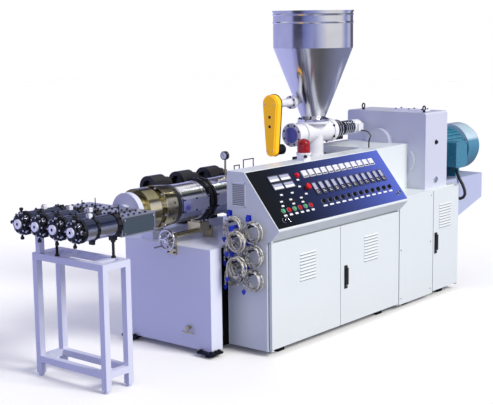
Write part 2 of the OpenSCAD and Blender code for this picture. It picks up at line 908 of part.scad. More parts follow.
// open hopper: outlet flange, cone, two beads and a rolled rim
module hopper() {
    bead = 7;
    inner = hopper_r - hopper_wall;
    color([0.80, 0.80, 0.84]) placed() translate([feed_x, axis_y, 0]) rotate_extrude($fn = 96)
        polygon([
            [outlet_r - hopper_wall, neck_z], [flange_r, neck_z], [flange_r, hopper_z], [outlet_r, hopper_z],
            [hopper_r, knee_z], [hopper_r, hopper_top - 105], [hopper_r + bead, hopper_top - 97],
            [hopper_r, hopper_top - 89], [hopper_r, hopper_top - 42], [hopper_r + bead, hopper_top - 34],
            [hopper_r, hopper_top - 26], [hopper_r, hopper_top - 12], [hopper_r + bead, hopper_top - 12],
            [hopper_r + bead, hopper_top], [inner, hopper_top], [inner, knee_z],
            [outlet_r - hopper_wall, hopper_z]
        ]);
}

module feeder_body() {
    ring_r = feeder_r + 10;
    color([0.92, 0.92, 0.94]) placed() translate([feed_x, axis_y, 0]) union() {
        translate([0, 0, feed_top]) cylinder(h = flange_t, r = flange_r);
        translate([0, 0, feed_top]) cylinder(h = neck_z - feed_top, r = feeder_r - 2);
        translate([0, 0, neck_z - flange_t]) cylinder(h = flange_t, r = flange_r);
        translate([-280, 0, feed_z]) rotate([0, 90, 0]) cylinder(h = 480, r = feeder_r);
        translate([-300, 0, feed_z]) rotate([0, 90, 0]) cylinder(h = 24, r = ring_r);
        translate([-180, 0, feed_z]) rotate([0, 90, 0]) cylinder(h = 20, r = ring_r);
        translate([190, 0, feed_z]) rotate([0, 90, 0]) cylinder(h = drive_x0 - feed_x - 190, r = ring_r);
    }
}

module sight_glass() {
    color([0.30, 0.35, 0.75]) placed() rod_x(feed_x - 306, feed_x - 300, axis_y, feed_z, feeder_r - 22);
}

module feeder_drive() {
    body_x = drive_x0 + reducer_l;
    color([0.30, 0.30, 0.34]) placed() union() {
        rod_x(drive_x0, body_x, axis_y, feed_z, 68);
        for (i = [0:2]) rod_x(drive_x0 + 12 + i * 36, drive_x0 + 26 + i * 36, axis_y, feed_z, 78);
        rod_x(body_x - eps, feeder_end - cap_l, axis_y, feed_z, 54);
        box(drive_x0 + 20, body_x, axis_y - 50, axis_y + 50, feed_z - 84, feed_z - 40);
    }
}

module feeder_motor() {
    color([0.90, 0.90, 0.92]) placed() union() {
        rod_x(feeder_end - cap_l, feeder_end - 24, axis_y, feed_z, 62);
        rod_x(feeder_end - 25, feeder_end, axis_y, feed_z, 52);
        box(feeder_end - cap_l + 20, feeder_end - 30, axis_y - 78, axis_y - 40, feed_z - 34, feed_z + 30);
    }
}

// leads that run from one housing to another
module held_leads() {
    color([0.06, 0.06, 0.07]) placed() {
        tube(conduit_pts, conduit_d / 2);
        tube(feeder_lead_pts, feeder_lead_d / 2);
    }
}

// agitator drive: guard, lower drive and the shaft housing at the hopper
module guard_form(x0, x1, more) {
    hull() {
        rod_x(x0, x1, agitator_y, guard_z1, guard_r1 + more);
        rod_x(x0, x1, agitator_y, guard_z0, guard_r0 + more);
    }
}

module belt_guard() {
    crown = 10;
    color([0.95, 0.68, 0.08]) placed() union() {
        guard_form(guard_x0 + crown, guard_x1 - guard_back, 0);
        guard_form(guard_x0, guard_x0 + crown + eps, -crown);
    }
}

module agitator_drive() {
    body_l = 95;
    end_l = 16;
    color([0.14, 0.14, 0.16]) placed() union() {
        guard_form(guard_x1 - guard_back, guard_x1, 5);
        rod_x(guard_x1 - eps, guard_x1 + body_l, agitator_y, guard_z0, 42);
        rod_x(guard_x1 + body_l - eps, guard_x1 + body_l + end_l, agitator_y, guard_z0, 30);
    }
}

module shaft_housing() {
    cone_r = outlet_r + (hopper_r - outlet_r) * (guard_z1 - hopper_z) / cone_h;
    color([0.92, 0.92, 0.94]) placed() difference() {
        union() {
            rod_x(guard_x1, feed_x - cone_r + 90, agitator_y, guard_z1, 32);
            rod_x(guard_x1, guard_x1 + 16, agitator_y, guard_z1, 54);
            rod_x(feed_x - cone_r - 66, feed_x - cone_r - 50, agitator_y, guard_z1, 54);
            rod_x(feed_x - cone_r - 46, feed_x - cone_r - 30, agitator_y, guard_z1, 54);
        }
        translate([feed_x, axis_y, hopper_z])
            cylinder(h = cone_h, r1 = outlet_r, r2 = hopper_r, $fn = 96);
    }
}

module beacon_base() {
    color([0.93, 0.93, 0.93]) placed() union() {
        rod_z(crest_h, crest_h + beacon_h, beacon_x, beacon_y, 52);
        rod_z(crest_h + beacon_h - 16, crest_h + beacon_h, beacon_x, beacon_y, 58);
    }
}

module beacon_dome() {
    dome_r = 50;
    straight = 66;
    color([0.80, 0.10, 0.12]) placed() translate([beacon_x, beacon_y, crest_h + beacon_h]) rotate_extrude()
        polygon([
            [0, 0], [dome_r, 0], [dome_r, straight],
            for (a = [10:10:80]) [dome_r * cos(a), straight + dome_r * 0.8 * sin(a)],
            [0, straight + dome_r * 0.8]
        ]);
}

// four strand die
function strand_y(i) = axis_y + (i - (strand_n - 1) / 2) * strand_pitch;

module die_bars() {
    half_h = bar_h / 2;
    bar_z = strand_z - bar_drop;
    color([0.34, 0.38, 0.40]) placed() union() {
        for (i = [0:strand_n - 1])
            box(bar_x0, bar_x1 + eps, strand_y(i) - bar_w / 2, strand_y(i) + bar_w / 2,
                bar_z - half_h, bar_z + half_h);
        box(bar_x1, plate_x1, strand_y(0) - bar_w / 2, strand_y(strand_n - 1) + bar_w / 2,
            bar_z - half_h, bar_z + half_h);
    }
}

module die_heaters() {
    color([0.80, 0.80, 0.84]) placed()
        for (i = [0:strand_n - 1]) {
            rod_x(band_x1, band_x0, strand_y(i), strand_z, strand_r);
            rod_x(head_x0, band_x2, strand_y(i), strand_z, strand_r);
        }
}

// a clamp ring with the lug that it is carried by
module clamp_ring(x0, x1, y) {
    union() {
        rod_x(x0, x1, y, strand_z, strand_r + 5);
        box(x0, x1, y - lug_w / 2, y + lug_w / 2, strand_z - strand_r - lug_drop, strand_z - strand_r + 10);
    }
}

module die_clamps() {
    color([0.10, 0.10, 0.12]) placed()
        for (i = [0:strand_n - 1]) {
            clamp_ring(band_x0, bar_x0, strand_y(i));
            clamp_ring(band_x2, band_x1, strand_y(i));
        }
}

module die_head(y) {
    screw_n = 8;
    screw_r = 7;
    screw_out = 16;
    union() {
        rod_x(head_x1, head_x0, y, strand_z, strand_r + 6);
        rod_x(head_x2, head_x1 + eps, y, strand_z, strand_r - 8);
        rod_x(bush_x, head_x2 + eps, y, strand_z, strand_r - 24);
        for (k = [0:screw_n - 1]) translate([(head_x1 + head_x2) / 2, y, strand_z])
            rotate([k * 360 / screw_n, 0, 0]) cylinder(h = strand_r - 8 + screw_out, r = screw_r, $fn = 24);
        for (k = [0:screw_n - 1]) translate([head_x1 - 12, y, strand_z])
            rotate([(k + 0.5) * 360 / screw_n, 0, 0]) translate([0, 0, strand_r - 2])
                rotate([0, 90, 0]) cylinder(h = 13, r = screw_r, $fn = 24);
    }
}

module die_heads() {
    color([0.20, 0.21, 0.26]) placed()
        for (i = [0:strand_n - 1]) die_head(strand_y(i));
}

module die_bushes() {
    bush_r = 32;
    hole_r = 10;
    color([0.90, 0.90, 0.92]) placed()
        for (i = [0:strand_n - 1]) difference() {
            rod_x(tip_x, bush_x, strand_y(i), strand_z, bush_r);
            rod_x(tip_x - eps, bush_x - 4, strand_y(i), strand_z, hole_r);
        }
}

module die_stand() {
    foot_t = 20;
    foot_r = 20;
    rail_z = 100;
    plate_t = 20;
    plate_w = 50;
    post_w = 42;
    post_y = strand_y(strand_n - 1) - post_w / 2;
    leg_x = [stand_x0, stand_x0 + stand_w - stand_tube];
    leg_y = [stand_y0, stand_y0 + stand_len - stand_tube];
    color([0.72, 0.72, 0.84]) placed() union() {
        for (x = leg_x) for (y = leg_y) {
            box(x, x + stand_tube, y, y + stand_tube, foot_t, stand_h);
            rod_z(0, foot_t + eps, x + stand_tube / 2, y + stand_tube / 2, foot_r);
        }
        for (z = [rail_z, stand_h - stand_tube]) {
            for (x = leg_x)
                box(x, x + stand_tube, stand_y0 + eps, stand_y0 + stand_len - eps, z, z + stand_tube);
            for (y = leg_y)
                box(stand_x0 + eps, stand_x0 + stand_w - eps, y, y + stand_tube, z, z + stand_tube);
        }
        for (at = jack_at) translate([stand_x0, strand_y(at[1]) - plate_w / 2, stand_h - plate_t])
            translate([eps, 0, 0]) cube([stand_w - 2 * eps, plate_w, plate_t]);
        box(post_x - post_w / 2, post_x + post_w / 2, post_y, post_y + post_w,
            stand_h - plate_t, stand_h + jack_len);
        box(stand_x0 + eps, stand_x0 + stand_w - eps, post_y, post_y + post_w, stand_h - plate_t, stand_h);
    }
}

module jack_rods() {
    nut_h = 12;
    nut_r = 17;
    color([0.10, 0.10, 0.12]) placed()
        for (at = jack_at) translate([at[0], strand_y(at[1]), stand_h]) union() {
            cylinder(h = jack_len, r = 9);
            cylinder(h = nut_h, r = nut_r, $fn = 6);
            translate([0, 0, jack_len - nut_h]) cylinder(h = nut_h, r = nut_r, $fn = 6);
        }
}

// coiled heater leads hung on pegs on the side wall of the control cabinet
module lead_pegs() {
    peg_r = 6;
    past = 6;
    head_t = 6;
    color([0.30, 0.32, 0.34]) placed()
        for (i = [0:len(coil_at) - 1]) {
            y = coil_at[i][0];
            z = coil_at[i][1] + coil_in_r - peg_r - pin_gap;
            reach = coil_off[i] + coil_w + past;
            union() {
                rod_x(-reach, 0, y, z, peg_r);
                rod_x(-reach - head_t, -reach + eps, y, z, peg_r + 5);
            }
        }
}

module lead_sockets() {
    plate = 20;
    plate_t = 6;
    arm_r = 13;
    gland_r = 14;
    color([0.10, 0.22, 0.62]) placed()
        for (i = [0:len(coil_at) - 1]) {
            x = -coil_off[i] - lead_d / 2;
            y = coil_at[i][0] + coil_r;
            z = coil_at[i][1] + socket_rise;
            union() {
                box(-plate_t, 0, y - plate, y + plate, z - plate, z + plate);
                rod_x(x, -plate_t + eps, y, z, arm_r);
                rod_z(z - gland_h, z + gland_h / 2, x, y, gland_r);
            }
        }
}

module lead_coils() {
    color([0.74, 0.74, 0.78]) placed()
        for (i = [0:len(coil_at) - 1])
            turned_x(-coil_off[i] - coil_w, coil_at[i][0], coil_at[i][1], [
                [coil_in_r, 0], [coil_out_r, 0], [coil_out_r, coil_w], [coil_in_r, coil_w]
            ]);
}

module lead_tails() {
    color([0.74, 0.74, 0.78]) placed()
        for (i = [0:len(coil_at) - 1]) {
            x = -coil_off[i] - lead_d / 2;
            y = coil_at[i][0] + coil_r;
            z = coil_at[i][1];
            rod_z(z + seat, z + socket_rise - gland_h, x, y, lead_d / 2);
            rod_z(z - tail_drop, z - seat, x - coil_turns * coil_pitch, y, lead_d / 2);
        }
}

module lead_plugs() {
    plug_r = 14;
    nose_r = 8;
    nose_h = 12;
    color([0.10, 0.22, 0.62]) placed()
        for (i = [0:len(coil_at) - 1]) {
            x = -coil_off[i] - lead_d / 2 - coil_turns * coil_pitch;
            y = coil_at[i][0] + coil_r;
            z = coil_at[i][1] - tail_drop - plug_h;
            union() {
                rod_z(z + nose_h, z + plug_h, x, y, plug_r);
                rod_z(z, z + nose_h + eps, x, y, nose_r);
            }
        }
}

base_frame();
base_feet();
gap_strip();
drain_valve();
control_cabinet();
control_door_left();
control_door_right();
control_handle();
console();
control_panel();
panel_meters();
panel_controllers();
panel_switches();
panel_displays();
panel_green_buttons();
panel_red_buttons();
rear_cabinet();
rear_door();
rear_handle();
drive_cover();
gearbox();
eyebolts();
motor_body();
motor_cowl();
terminal_box();
motor_plinth();
barrel_heaters();
barrel_clamps();
brass_covers();
die_disc();
barrel_support();
handwheel();
blowers();
blower_duct();
gauge();
vent_handles();
feed_block();
hopper();
feeder_body();
sight_glass();
feeder_drive();
feeder_motor();
held_leads();
belt_guard();
agitator_drive();
shaft_housing();
beacon_base();
beacon_dome();
die_bars();
die_heaters();
die_clamps();
die_heads();
die_bushes();
die_stand();
jack_rods();
lead_pegs();
lead_sockets();
lead_coils();
lead_tails();
lead_plugs();
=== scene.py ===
"""Finishes and small fittings of a twin screw pipe extruder with a four strand die."""
import json
from math import cos, pi, radians, sin

import bpy
from bpy.props import FloatProperty, FloatVectorProperty, IntProperty, PointerProperty
from mathutils import Matrix, Vector


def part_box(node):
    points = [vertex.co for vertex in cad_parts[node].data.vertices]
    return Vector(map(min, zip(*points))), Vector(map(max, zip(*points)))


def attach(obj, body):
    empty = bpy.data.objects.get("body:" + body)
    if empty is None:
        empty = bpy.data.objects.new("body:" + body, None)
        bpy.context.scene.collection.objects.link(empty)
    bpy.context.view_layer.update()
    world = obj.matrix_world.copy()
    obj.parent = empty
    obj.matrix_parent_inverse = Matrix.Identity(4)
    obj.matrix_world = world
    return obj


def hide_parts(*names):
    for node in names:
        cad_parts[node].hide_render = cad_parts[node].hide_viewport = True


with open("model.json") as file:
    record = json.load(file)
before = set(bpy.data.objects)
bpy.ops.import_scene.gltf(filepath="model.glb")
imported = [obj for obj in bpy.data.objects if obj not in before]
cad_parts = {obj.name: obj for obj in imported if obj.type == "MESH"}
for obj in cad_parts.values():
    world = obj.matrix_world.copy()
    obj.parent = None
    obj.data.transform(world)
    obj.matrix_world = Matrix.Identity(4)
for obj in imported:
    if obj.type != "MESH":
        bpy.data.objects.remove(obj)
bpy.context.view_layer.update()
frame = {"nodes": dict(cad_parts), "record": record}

bl_info = {
    "name": "Pipe extruder",
    "version": (1, 0, 0),
    "blender": (4, 5, 0),
    "location": "View3D > Sidebar > Extruder",
    "description": "Paints, metals, leads and fasteners of a twin screw pipe extruder",
    "category": "Object",
}

FRONT, BACK = Vector((0, -1, 0)), Vector((0, 1, 0))
LEFT, RIGHT = Vector((-1, 0, 0)), Vector((1, 0, 0))
UP, DOWN = Vector((0, 0, 1)), Vector((0, 0, -1))

# Goes before the name of a finish, because the frame has plain colours of the same names
OWN = "finish_"
# Height where the drive cover's paint changes from the cabinets' to the gearbox's
ARCH_FOOT = 1.326
# How far the console's lip stands out from the door faces
LIP_OUT = 0.076
# Width of a louvre field in a door
LOUVRE_WIDE = 0.196
# Faces that meet at less than this angle are shaded as one
SMOOTH = radians(35)
# Level directions to the camera and to its left, for what mirrors show
TO_EYE, TO_LEFT = (-0.768, -0.640), (-0.640, 0.768)
# Colour of the painted shade in the louvre slits
SLIT_SHADE = (0.13, 0.11, 0.12)
# Painted shade: how much darker the gearbox's paint is made than the base's
DRIVE_PAINTED_SHADE = 0.80


# Sizes and colours that a user may change

def length(name, description, default):
    """A length in metres."""
    return FloatProperty(name=name, description=description, default=default, unit="LENGTH")


def bearing(name, description, degrees):
    """An angle, given in degrees."""
    return FloatProperty(name=name, description=description, default=radians(degrees), subtype="ANGLE")


def colour(name, description, default):
    """A colour of red, green and blue."""
    return FloatVectorProperty(
        name=name, description=description, default=default, size=3, subtype="COLOR")


class ExtruderView(bpy.types.PropertyGroup):
    """Where the picture is taken from and how it is lit."""
    eye: FloatVectorProperty(
        name="Eye", description="Place of the camera", default=(-7.140, -5.446, 2.4),
        subtype="TRANSLATION")
    turn: bearing("Turn", "Heading of the camera", -50.2)
    tilt: bearing("Tilt", "Slope of the view below the horizon", 9.244)
    roll: bearing("Roll", "Turn of the camera about its own line", -0.71)
    lens: FloatProperty(
        name="Lens", description="Focal length in millimetres", default=82.76, subtype="DISTANCE_CAMERA")
    floor: colour("Floor", "Colour of the floor and backdrop", (0.99, 0.98, 0.93))


class ExtruderSizes(bpy.types.PropertyGroup):
    """Sizes of the leads, fasteners and plates."""
    lead: length("Lead", "Diameter of a heater lead", 0.012)
    coil: length("Coil", "Radius of the turns of a coiled lead", 0.068)
    slack: length("Slack", "How far the turns of a coiled lead stray from round", 0.015)
    step: length("Step", "Distance from one turn of a lead to the next", 0.013)
    turns: IntProperty(name="Turns", description="Turns of a coiled lead", default=4)
    screw: length("Screw", "Radius of a small hexagon head", 0.008)
    bolt: length("Bolt", "Radius of a large hexagon head", 0.013)
    plate: length("Plate", "Thickness of a label plate", 0.0015)


class ExtruderColours(bpy.types.PropertyGroup):
    """Colours of the paints, metals and plastics."""
    pale: colour("Pale", "Paint of the cabinets", (0.78, 0.82, 0.81))
    # Lavender: the pale paint tinted as painted shade, for the bluish shade on the base and gearbox
    lavender: colour("Lavender", "Paint of base and gearbox", (0.80, 0.82, 0.94))
    # Plinth: a darker lavender, as painted shade on the motor's plinth
    plinth: colour("Plinth", "Paint of the motor's plinth", (0.50, 0.54, 0.72))
    # Stand: the pale paint made darker and lavender, as painted shade on the die stand
    stand: colour("Stand", "Paint of the die stand", (0.70, 0.71, 0.84))
    dark: colour("Dark", "Blackened steel", (0.04, 0.042, 0.055))
    black: colour("Black", "Black paint and plastic", (0.012, 0.012, 0.014))
    # The panel's end colours; the blue violet at the right is a painted reflection
    panel_left: colour("Panel left", "Left end of the panel", (0.004, 0.006, 0.008))
    panel_right: colour("Panel right", "Right end of the panel", (0.09, 0.13, 0.50))
    white: colour("White", "White paint and plastic", (0.84, 0.84, 0.86))
    grey: colour("Grey", "Grey plastic", (0.07, 0.075, 0.11))
    green: colour("Green", "Green buttons", (0.12, 0.46, 0.20))
    red: colour("Red", "Red buttons and beacon", (0.62, 0.015, 0.02))
    blue: colour("Blue", "Blue plugs and sockets", (0.01, 0.03, 0.50))
    teal: colour("Teal", "Enamel of the motor", (0.04, 0.22, 0.32))
    steel: colour("Steel", "Polished steel", (0.66, 0.66, 0.70))
    bar: colour("Bar", "Ground steel of the feed bars", (0.58, 0.59, 0.65))
    cover: colour("Cover", "Enamel of the feed bar covers", (0.045, 0.065, 0.085))
    window: colour("Window", "Windows of the controllers", (0.42, 0.43, 0.56))
    brass: colour("Brass", "Brass", (0.64, 0.57, 0.34))
    yellow: colour("Yellow", "Paint of the belt guard", (1.0, 0.52, 0.02))
    glass: colour("Glass", "Sight glass", (0.20, 0.20, 0.56))
    braid: colour("Braid", "Woven sleeve of the leads", (0.50, 0.49, 0.47))


def view():
    return bpy.context.scene.extruder_view


def sizes():
    return bpy.context.scene.extruder_sizes


def colours():
    return bpy.context.scene.extruder_colours


def keys_of(group):
    """The names of what a user may change in a group."""
    return [key for key in group.bl_rna.properties.keys() if key not in ("rna_type", "name")]


# Shader expressions

class Value:
    """A shader socket that can stand in a Python expression."""

    def __init__(self, tree, socket):
        self.tree = tree
        self.socket = socket

    def __add__(self, other):
        return self.tree.math("ADD", self, other)

    def __sub__(self, other):
        return self.tree.math("SUBTRACT", self, other)

    def __rsub__(self, other):
        return self.tree.math("SUBTRACT", other, self)

    def __mul__(self, other):
        return self.tree.math("MULTIPLY", self, other)

    def __gt__(self, other):
        return self.tree.math("GREATER_THAN", self, other)

    def __lt__(self, other):
        return self.tree.math("LESS_THAN", self, other)

    def __mod__(self, other):
        return self.tree.math("FLOORED_MODULO", self, other)

    __radd__ = __add__
    __rmul__ = __mul__


class Nodes:
    """A node tree that is written as expressions."""

    def __init__(self, tree, shader, coordinate):
        self.nodes = tree.nodes
        self.links = tree.links
        self.shader = self.nodes[shader]
        self.place = self.node("ShaderNodeTexCoord", output=coordinate)

    def node(self, kind, settings=None, inputs=None, output=0):
        """Adds a node with its settings made first, and gives the value of one of its outputs."""
        node = self.nodes.new(kind)
        for key, setting in (settings or {}).items():
            if key == "stops":
                elements = node.color_ramp.elements
                while len(elements) < len(setting):
                    elements.new(1.0)
                for stop, (position, tone) in zip(elements, setting):
                    stop.position = position
                    stop.color = (*tone, 1)
            else:
                setattr(node, key, setting)
        for key, value in (inputs or {}).items():
            self.feed(node.inputs[key], value)
        return Value(self, node.outputs[output])

    def feed(self, socket, value):
        if isinstance(value, Value):
            self.links.new(value.socket, socket)
        else:
            socket.default_value = value

    def set(self, **values):
        """Sets sockets of the shader by their names, with _ for a space."""
        for key, value in values.items():
            self.feed(self.shader.inputs[key.replace("_", " ")], value)
        return self

    def math(self, operation, first, second):
        return self.node("ShaderNodeMath", {"operation": operation}, {0: first, 1: second})

    def stretched(self, scale):
        return self.node("ShaderNodeMapping", {}, {"Vector": self.place, "Scale": scale})

    def noise(self, scale, detail, where=None):
        return self.node("ShaderNodeTexNoise", {}, {
            "Vector": where or self.place, "Scale": scale, "Detail": detail})

    def axis(self, output):
        return self.node("ShaderNodeSeparateXYZ", {}, {"Vector": self.place}, output)

    def toward(self, way):
        """How far a place lies along a level direction."""
        return self.axis("X") * way[0] + self.axis("Y") * way[1]

    def mix(self, factor, first, second):
        return self.node("ShaderNodeMix", {"data_type": "RGBA", "clamp_factor": True}, {
            0: factor, 6: (*first, 1) if isinstance(first, tuple) else first,
            7: (*second, 1) if isinstance(second, tuple) else second}, 2)

    def ramp(self, factor, stops):
        return self.node("ShaderNodeValToRGB", {"stops": stops}, {"Fac": factor})

    def bump(self, height, strength, distance):
        return self.node("ShaderNodeBump", {}, {
            "Height": height, "Strength": strength, "Distance": distance}, "Normal")


class Finish(Nodes):
    """One material and the nodes that make it."""

    def __init__(self, name):
        self.slot = name
        self.material = bpy.data.materials.new(OWN + name)
        self.material.use_nodes = True
        super().__init__(self.material.node_tree, "Principled BSDF", "Object")


class Sky(Nodes):
    """The studio round the machine, as a world."""

    def __init__(self, name):
        self.world = bpy.data.worlds.new(name)
        self.world.use_nodes = True
        super().__init__(self.world.node_tree, "Background", "Generated")


def shade(base, factor):
    """A colour made darker or lighter."""
    return tuple(min(1.0, part * factor) for part in base)


# Finishes, one for each material slot

def enamel(name, base, roughness=0.38, coat=0.25, over=None):
    """Sprayed paint: fine orange peel, cloudy tone, darker in patches towards the floor and what lies over
    it.
    """
    darkening_top, darkening_rate = 0.35, 1.6
    finish = Finish(name)
    grime = finish.noise(26.0, 6.0)
    near_floor = (darkening_top - finish.axis("Z")) * darkening_rate
    tone = finish.mix(finish.noise(3.5, 4.0) * 0.5, shade(base, 0.97), shade(base, 1.03))
    # Darker in patches towards the floor
    darker_low = finish.mix(near_floor * grime * 0.5, tone, shade(base, 0.72))
    return finish.set(
        Base_Color=over(finish, darker_low) if over else darker_low, Roughness=roughness + grime * 0.10 - 0.05,
        Coat_Weight=coat, Coat_Roughness=0.18,
        Normal=finish.bump(finish.noise(420.0, 1.0), 0.08, 0.0006))


def painted_above(height, paint):
    """Lays a second paint over all that is higher than a height."""
    def lay(finish, tone):
        upper = finish.mix(finish.noise(3.5, 4.0), shade(paint, 0.97), shade(paint, 1.03))
        return finish.mix(finish.axis("Z") > height, tone, upper)
    return lay


def highlight_above(height, span, dust):
    """Lays a pale painted highlight, in the colour given as dust, on what is higher than a height, full
    after a span.
    """
    def lay(finish, tone):
        strongest = 0.8
        highlight_rise = finish.math("MINIMUM", (finish.axis("Z") - height) * (1 / span), strongest)
        patchy = finish.noise(9.0, 3.0) * 0.4 + 0.8
        return finish.mix(highlight_rise * patchy, tone, dust)
    return lay


def louvre_slit_shade(first, last, step, line, across="X"):
    """Lays painted shade in the lines of a louvre field with two given corners, across and up."""
    def lay(finish, tone):
        side, up = finish.axis(across), finish.axis("Z")
        field = (side > first[0]) * (side < last[0]) * (up > first[1]) * (up < last[1])
        lines = ((up - first[1]) % step) < line
        return finish.mix(field * lines * 0.7, tone, SLIT_SHADE)
    return lay


def door_slit_shade(door, in_from):
    """Painted shade in the louvre slits of a door, whose field starts at a distance from the door's left
    edge.
    """
    step, rows, drop, slot, smear = 0.024, 9, 0.115, 0.005, 0.002
    x = low(door).x + in_from
    z = high(door).z - drop - rows * step - slot
    return louvre_slit_shade((x, z), (x + LOUVRE_WIDE, z + rows * step), step, slot + smear)


def side_slit_shade():
    """Painted shade in the slits of the console's side wall."""
    first, last = at(0, 0.228, 1.0785), at(0, 0.345, 1.2345)
    step, line = 0.013, 0.007
    return louvre_slit_shade((first.y, first.z), (last.y, last.z), step, line, "Y")


def glowing_enamel(name, base):
    """Signal paint with a painted glow: it gives off light of its own colour, so it keeps its colour in the
    shade.
    """
    finish = enamel(name, base, 0.34, 0.0)
    # Painted glow: emission in the paint's own colour
    return finish.set(
        Emission_Color=(*shade(base, 0.9), 1), Emission_Strength=0.30, Specular_IOR_Level=0.2)


def strand_steel(name, base):
    """Steel of the strand heaters, darker blue black on its upper half as a painted reflection."""
    finish = metal(name, base, 0.16, (0.2, 3.0, 3.0), 0.12)
    _, middle = strands()
    # Painted reflection: the upper half darkened to blue black
    painted_dark_top = (finish.axis("Z") - middle) * 40.0 + finish.noise(18.0, 4.0) * 0.5
    return finish.set(Base_Color=finish.mix(painted_dark_top, base, (0.05, 0.06, 0.11)))


def ring_brass(name, base):
    """Brass of the barrel rings in bands by height: dark above, partly heat tarnish and partly painted
    reflection, with a bright painted highlight band at the side.
    """
    finish = metal(name, base, 0.10, (3.0, 0.3, 0.3), 0.08)
    middle = centre("brass_covers").z
    height = (finish.axis("Z") - middle) * 3.0 + 0.5 + finish.noise(9.0, 3.0) * 0.1 - 0.05
    # Painted reflections in bands by height: dark above, partly heat tarnish, and a bright highlight band
    # at the side
    tarnish = finish.ramp(height, [
        (0.0, shade(base, 0.75)), (0.30, shade(base, 0.55)), (0.52, shade(base, 0.45)),
        (0.56, shade(base, 1.35)), (0.70, shade(base, 1.35)), (0.78, shade(base, 0.50)),
        (0.95, (0.15, 0.13, 0.07))])
    return finish.set(Base_Color=tarnish)


def barrel_steel(name, base):
    """Polished steel of the barrel heaters, with painted reflections laid on in bands by height."""
    finish = metal(name, base, 0.10, (0.2, 0.2, 3.0), 0.08)
    middle = centre("barrel_heaters").z
    tall = high("barrel_heaters").z - low("barrel_heaters").z
    height = (finish.axis("Z") - middle) * (1 / tall) + 0.49 + finish.noise(6.0, 3.0) * 0.02
    # Painted reflections: dark and light bands by height
    painted_reflection_bands = finish.ramp(height, [
        (0.08, (0.16, 0.17, 0.22)), (0.16, (0.42, 0.44, 0.56)), (0.32, (0.40, 0.42, 0.54)),
        (0.35, (0.70, 0.69, 0.90)), (0.64, (0.68, 0.67, 0.88)), (0.66, (0.80, 0.80, 0.82)),
        (0.71, (0.78, 0.78, 0.80)), (0.74, (0.20, 0.22, 0.21)), (0.83, (0.22, 0.24, 0.23)),
        (0.87, (0.84, 0.84, 0.88))])
    return finish.set(Base_Color=painted_reflection_bands)


def bush_steel(name, base):
    """Satin steel of the exit bushes, made lighter than the other steel as a painted highlight."""
    return metal(name, shade(base, 1.4), 0.32, stain=0.95).set(Metallic=0.35)


def plastic(name, base, roughness):
    """Moulded plastic with a faint grain."""
    finish = Finish(name)
    wear = finish.noise(60.0, 5.0)
    return finish.set(
        Base_Color=finish.mix(wear, shade(base, 0.9), shade(base, 1.08)),
        Roughness=roughness + wear * 0.1, Normal=finish.bump(finish.noise(900.0, 2.0), 0.06, 0.0003))


def metal(name, base, roughness, grain=(1.0, 1.0, 1.0), streak=0.12, stain=0.85):
    """Worked metal: drawn streaks along its grain, handling marks and cloudy stains."""
    finish = Finish(name)
    drawn = finish.noise(140.0, 4.0, finish.stretched(grain))
    cloud = finish.noise(7.0, 5.0)
    worn = finish.mix(cloud, shade(base, stain), shade(base, 1.06))
    return finish.set(
        Base_Color=worn, Metallic=1.0, Roughness=roughness + drawn * streak + cloud * 0.06,
        Normal=finish.bump(drawn, 0.05, 0.0004))


def panel_enamel(name):
    """The dark instrument panel: near black at its left, turning blue violet towards its right as a painted
    reflection.
    """
    finish = Finish(name)
    start, wide = low("control_panel").x, high("control_panel").x - low("control_panel").x
    share = (finish.axis("X") - start) * (1 / wide)
    grain = finish.noise(300.0, 2.0)
    # Painted reflection: the panel turns from near black to blue violet towards its right
    painted_reflection_shades = finish.mix(share * share, tuple(colours().panel_left), tuple(colours().panel_right))
    return finish.set(
        Base_Color=painted_reflection_shades, Roughness=0.34 + grain * 0.08, Specular_IOR_Level=0.09,
        Normal=finish.bump(grain, 0.05, 0.0004))


def dull_black(name):
    """Near black for painted shade: the unlit depth of a narrow gap."""
    finish = Finish(name)
    dust = finish.noise(30.0, 4.0)
    return finish.set(
        Base_Color=finish.mix(dust, (0.001, 0.001, 0.001), (0.004, 0.004, 0.004)), Roughness=0.9,
        Specular_IOR_Level=0.05)


def clear_glass(name, base):
    """Thick dark glass with a glossy face and faint smears."""
    finish = Finish(name)
    smear = finish.noise(20.0, 4.0)
    return finish.set(
        Base_Color=finish.mix(smear, shade(base, 0.8), shade(base, 1.2)),
        Roughness=0.04 + smear * 0.06, Coat_Weight=1.0, Coat_Roughness=0.03)


def lens_plastic(name, base):
    """Red lens with moulded rings, lighter on the ridges as painted highlights, with a painted glow."""
    pitch = 0.008
    finish = Finish(name)
    ridge = (finish.axis("Z") % pitch) > pitch / 2
    # The ridges are lighter as painted highlights, and the lens gives off a painted glow
    mottle = finish.noise(70.0, 2.0) * 3.0 - 1.0 + ridge * 0.25
    return finish.set(
        Base_Color=finish.mix(mottle, shade(base, 0.2), shade(base, 0.7)),
        Roughness=0.12 + ridge * 0.08, Coat_Weight=0.4, Specular_IOR_Level=0.25,
        Emission_Color=finish.mix(ridge, shade(base, 0.2), shade(base, 0.35)), Emission_Strength=0.12)


def woven(name, base):
    """Braided metal sleeve: fine bright strands over dark gaps, tarnished in places."""
    finish = Finish(name)
    wires = finish.noise(420.0, 2.0) + 0.40
    tarnish = finish.noise(14.0, 3.0) * 3.0 - 1.2
    worn = finish.noise(48.0, 2.0) * 7.0 - 2.8
    clean = finish.mix(worn, (0.09, 0.09, 0.08), shade(base, 1.85))
    tone = finish.mix(tarnish, clean, (0.66, 0.61, 0.45))
    return finish.set(
        Base_Color=finish.mix(wires, (0.03, 0.03, 0.03), tone), Metallic=0.10,
        Roughness=0.38 + finish.noise(150.0, 1.0) * 0.2, Normal=finish.bump(wires, 0.5, 0.001))


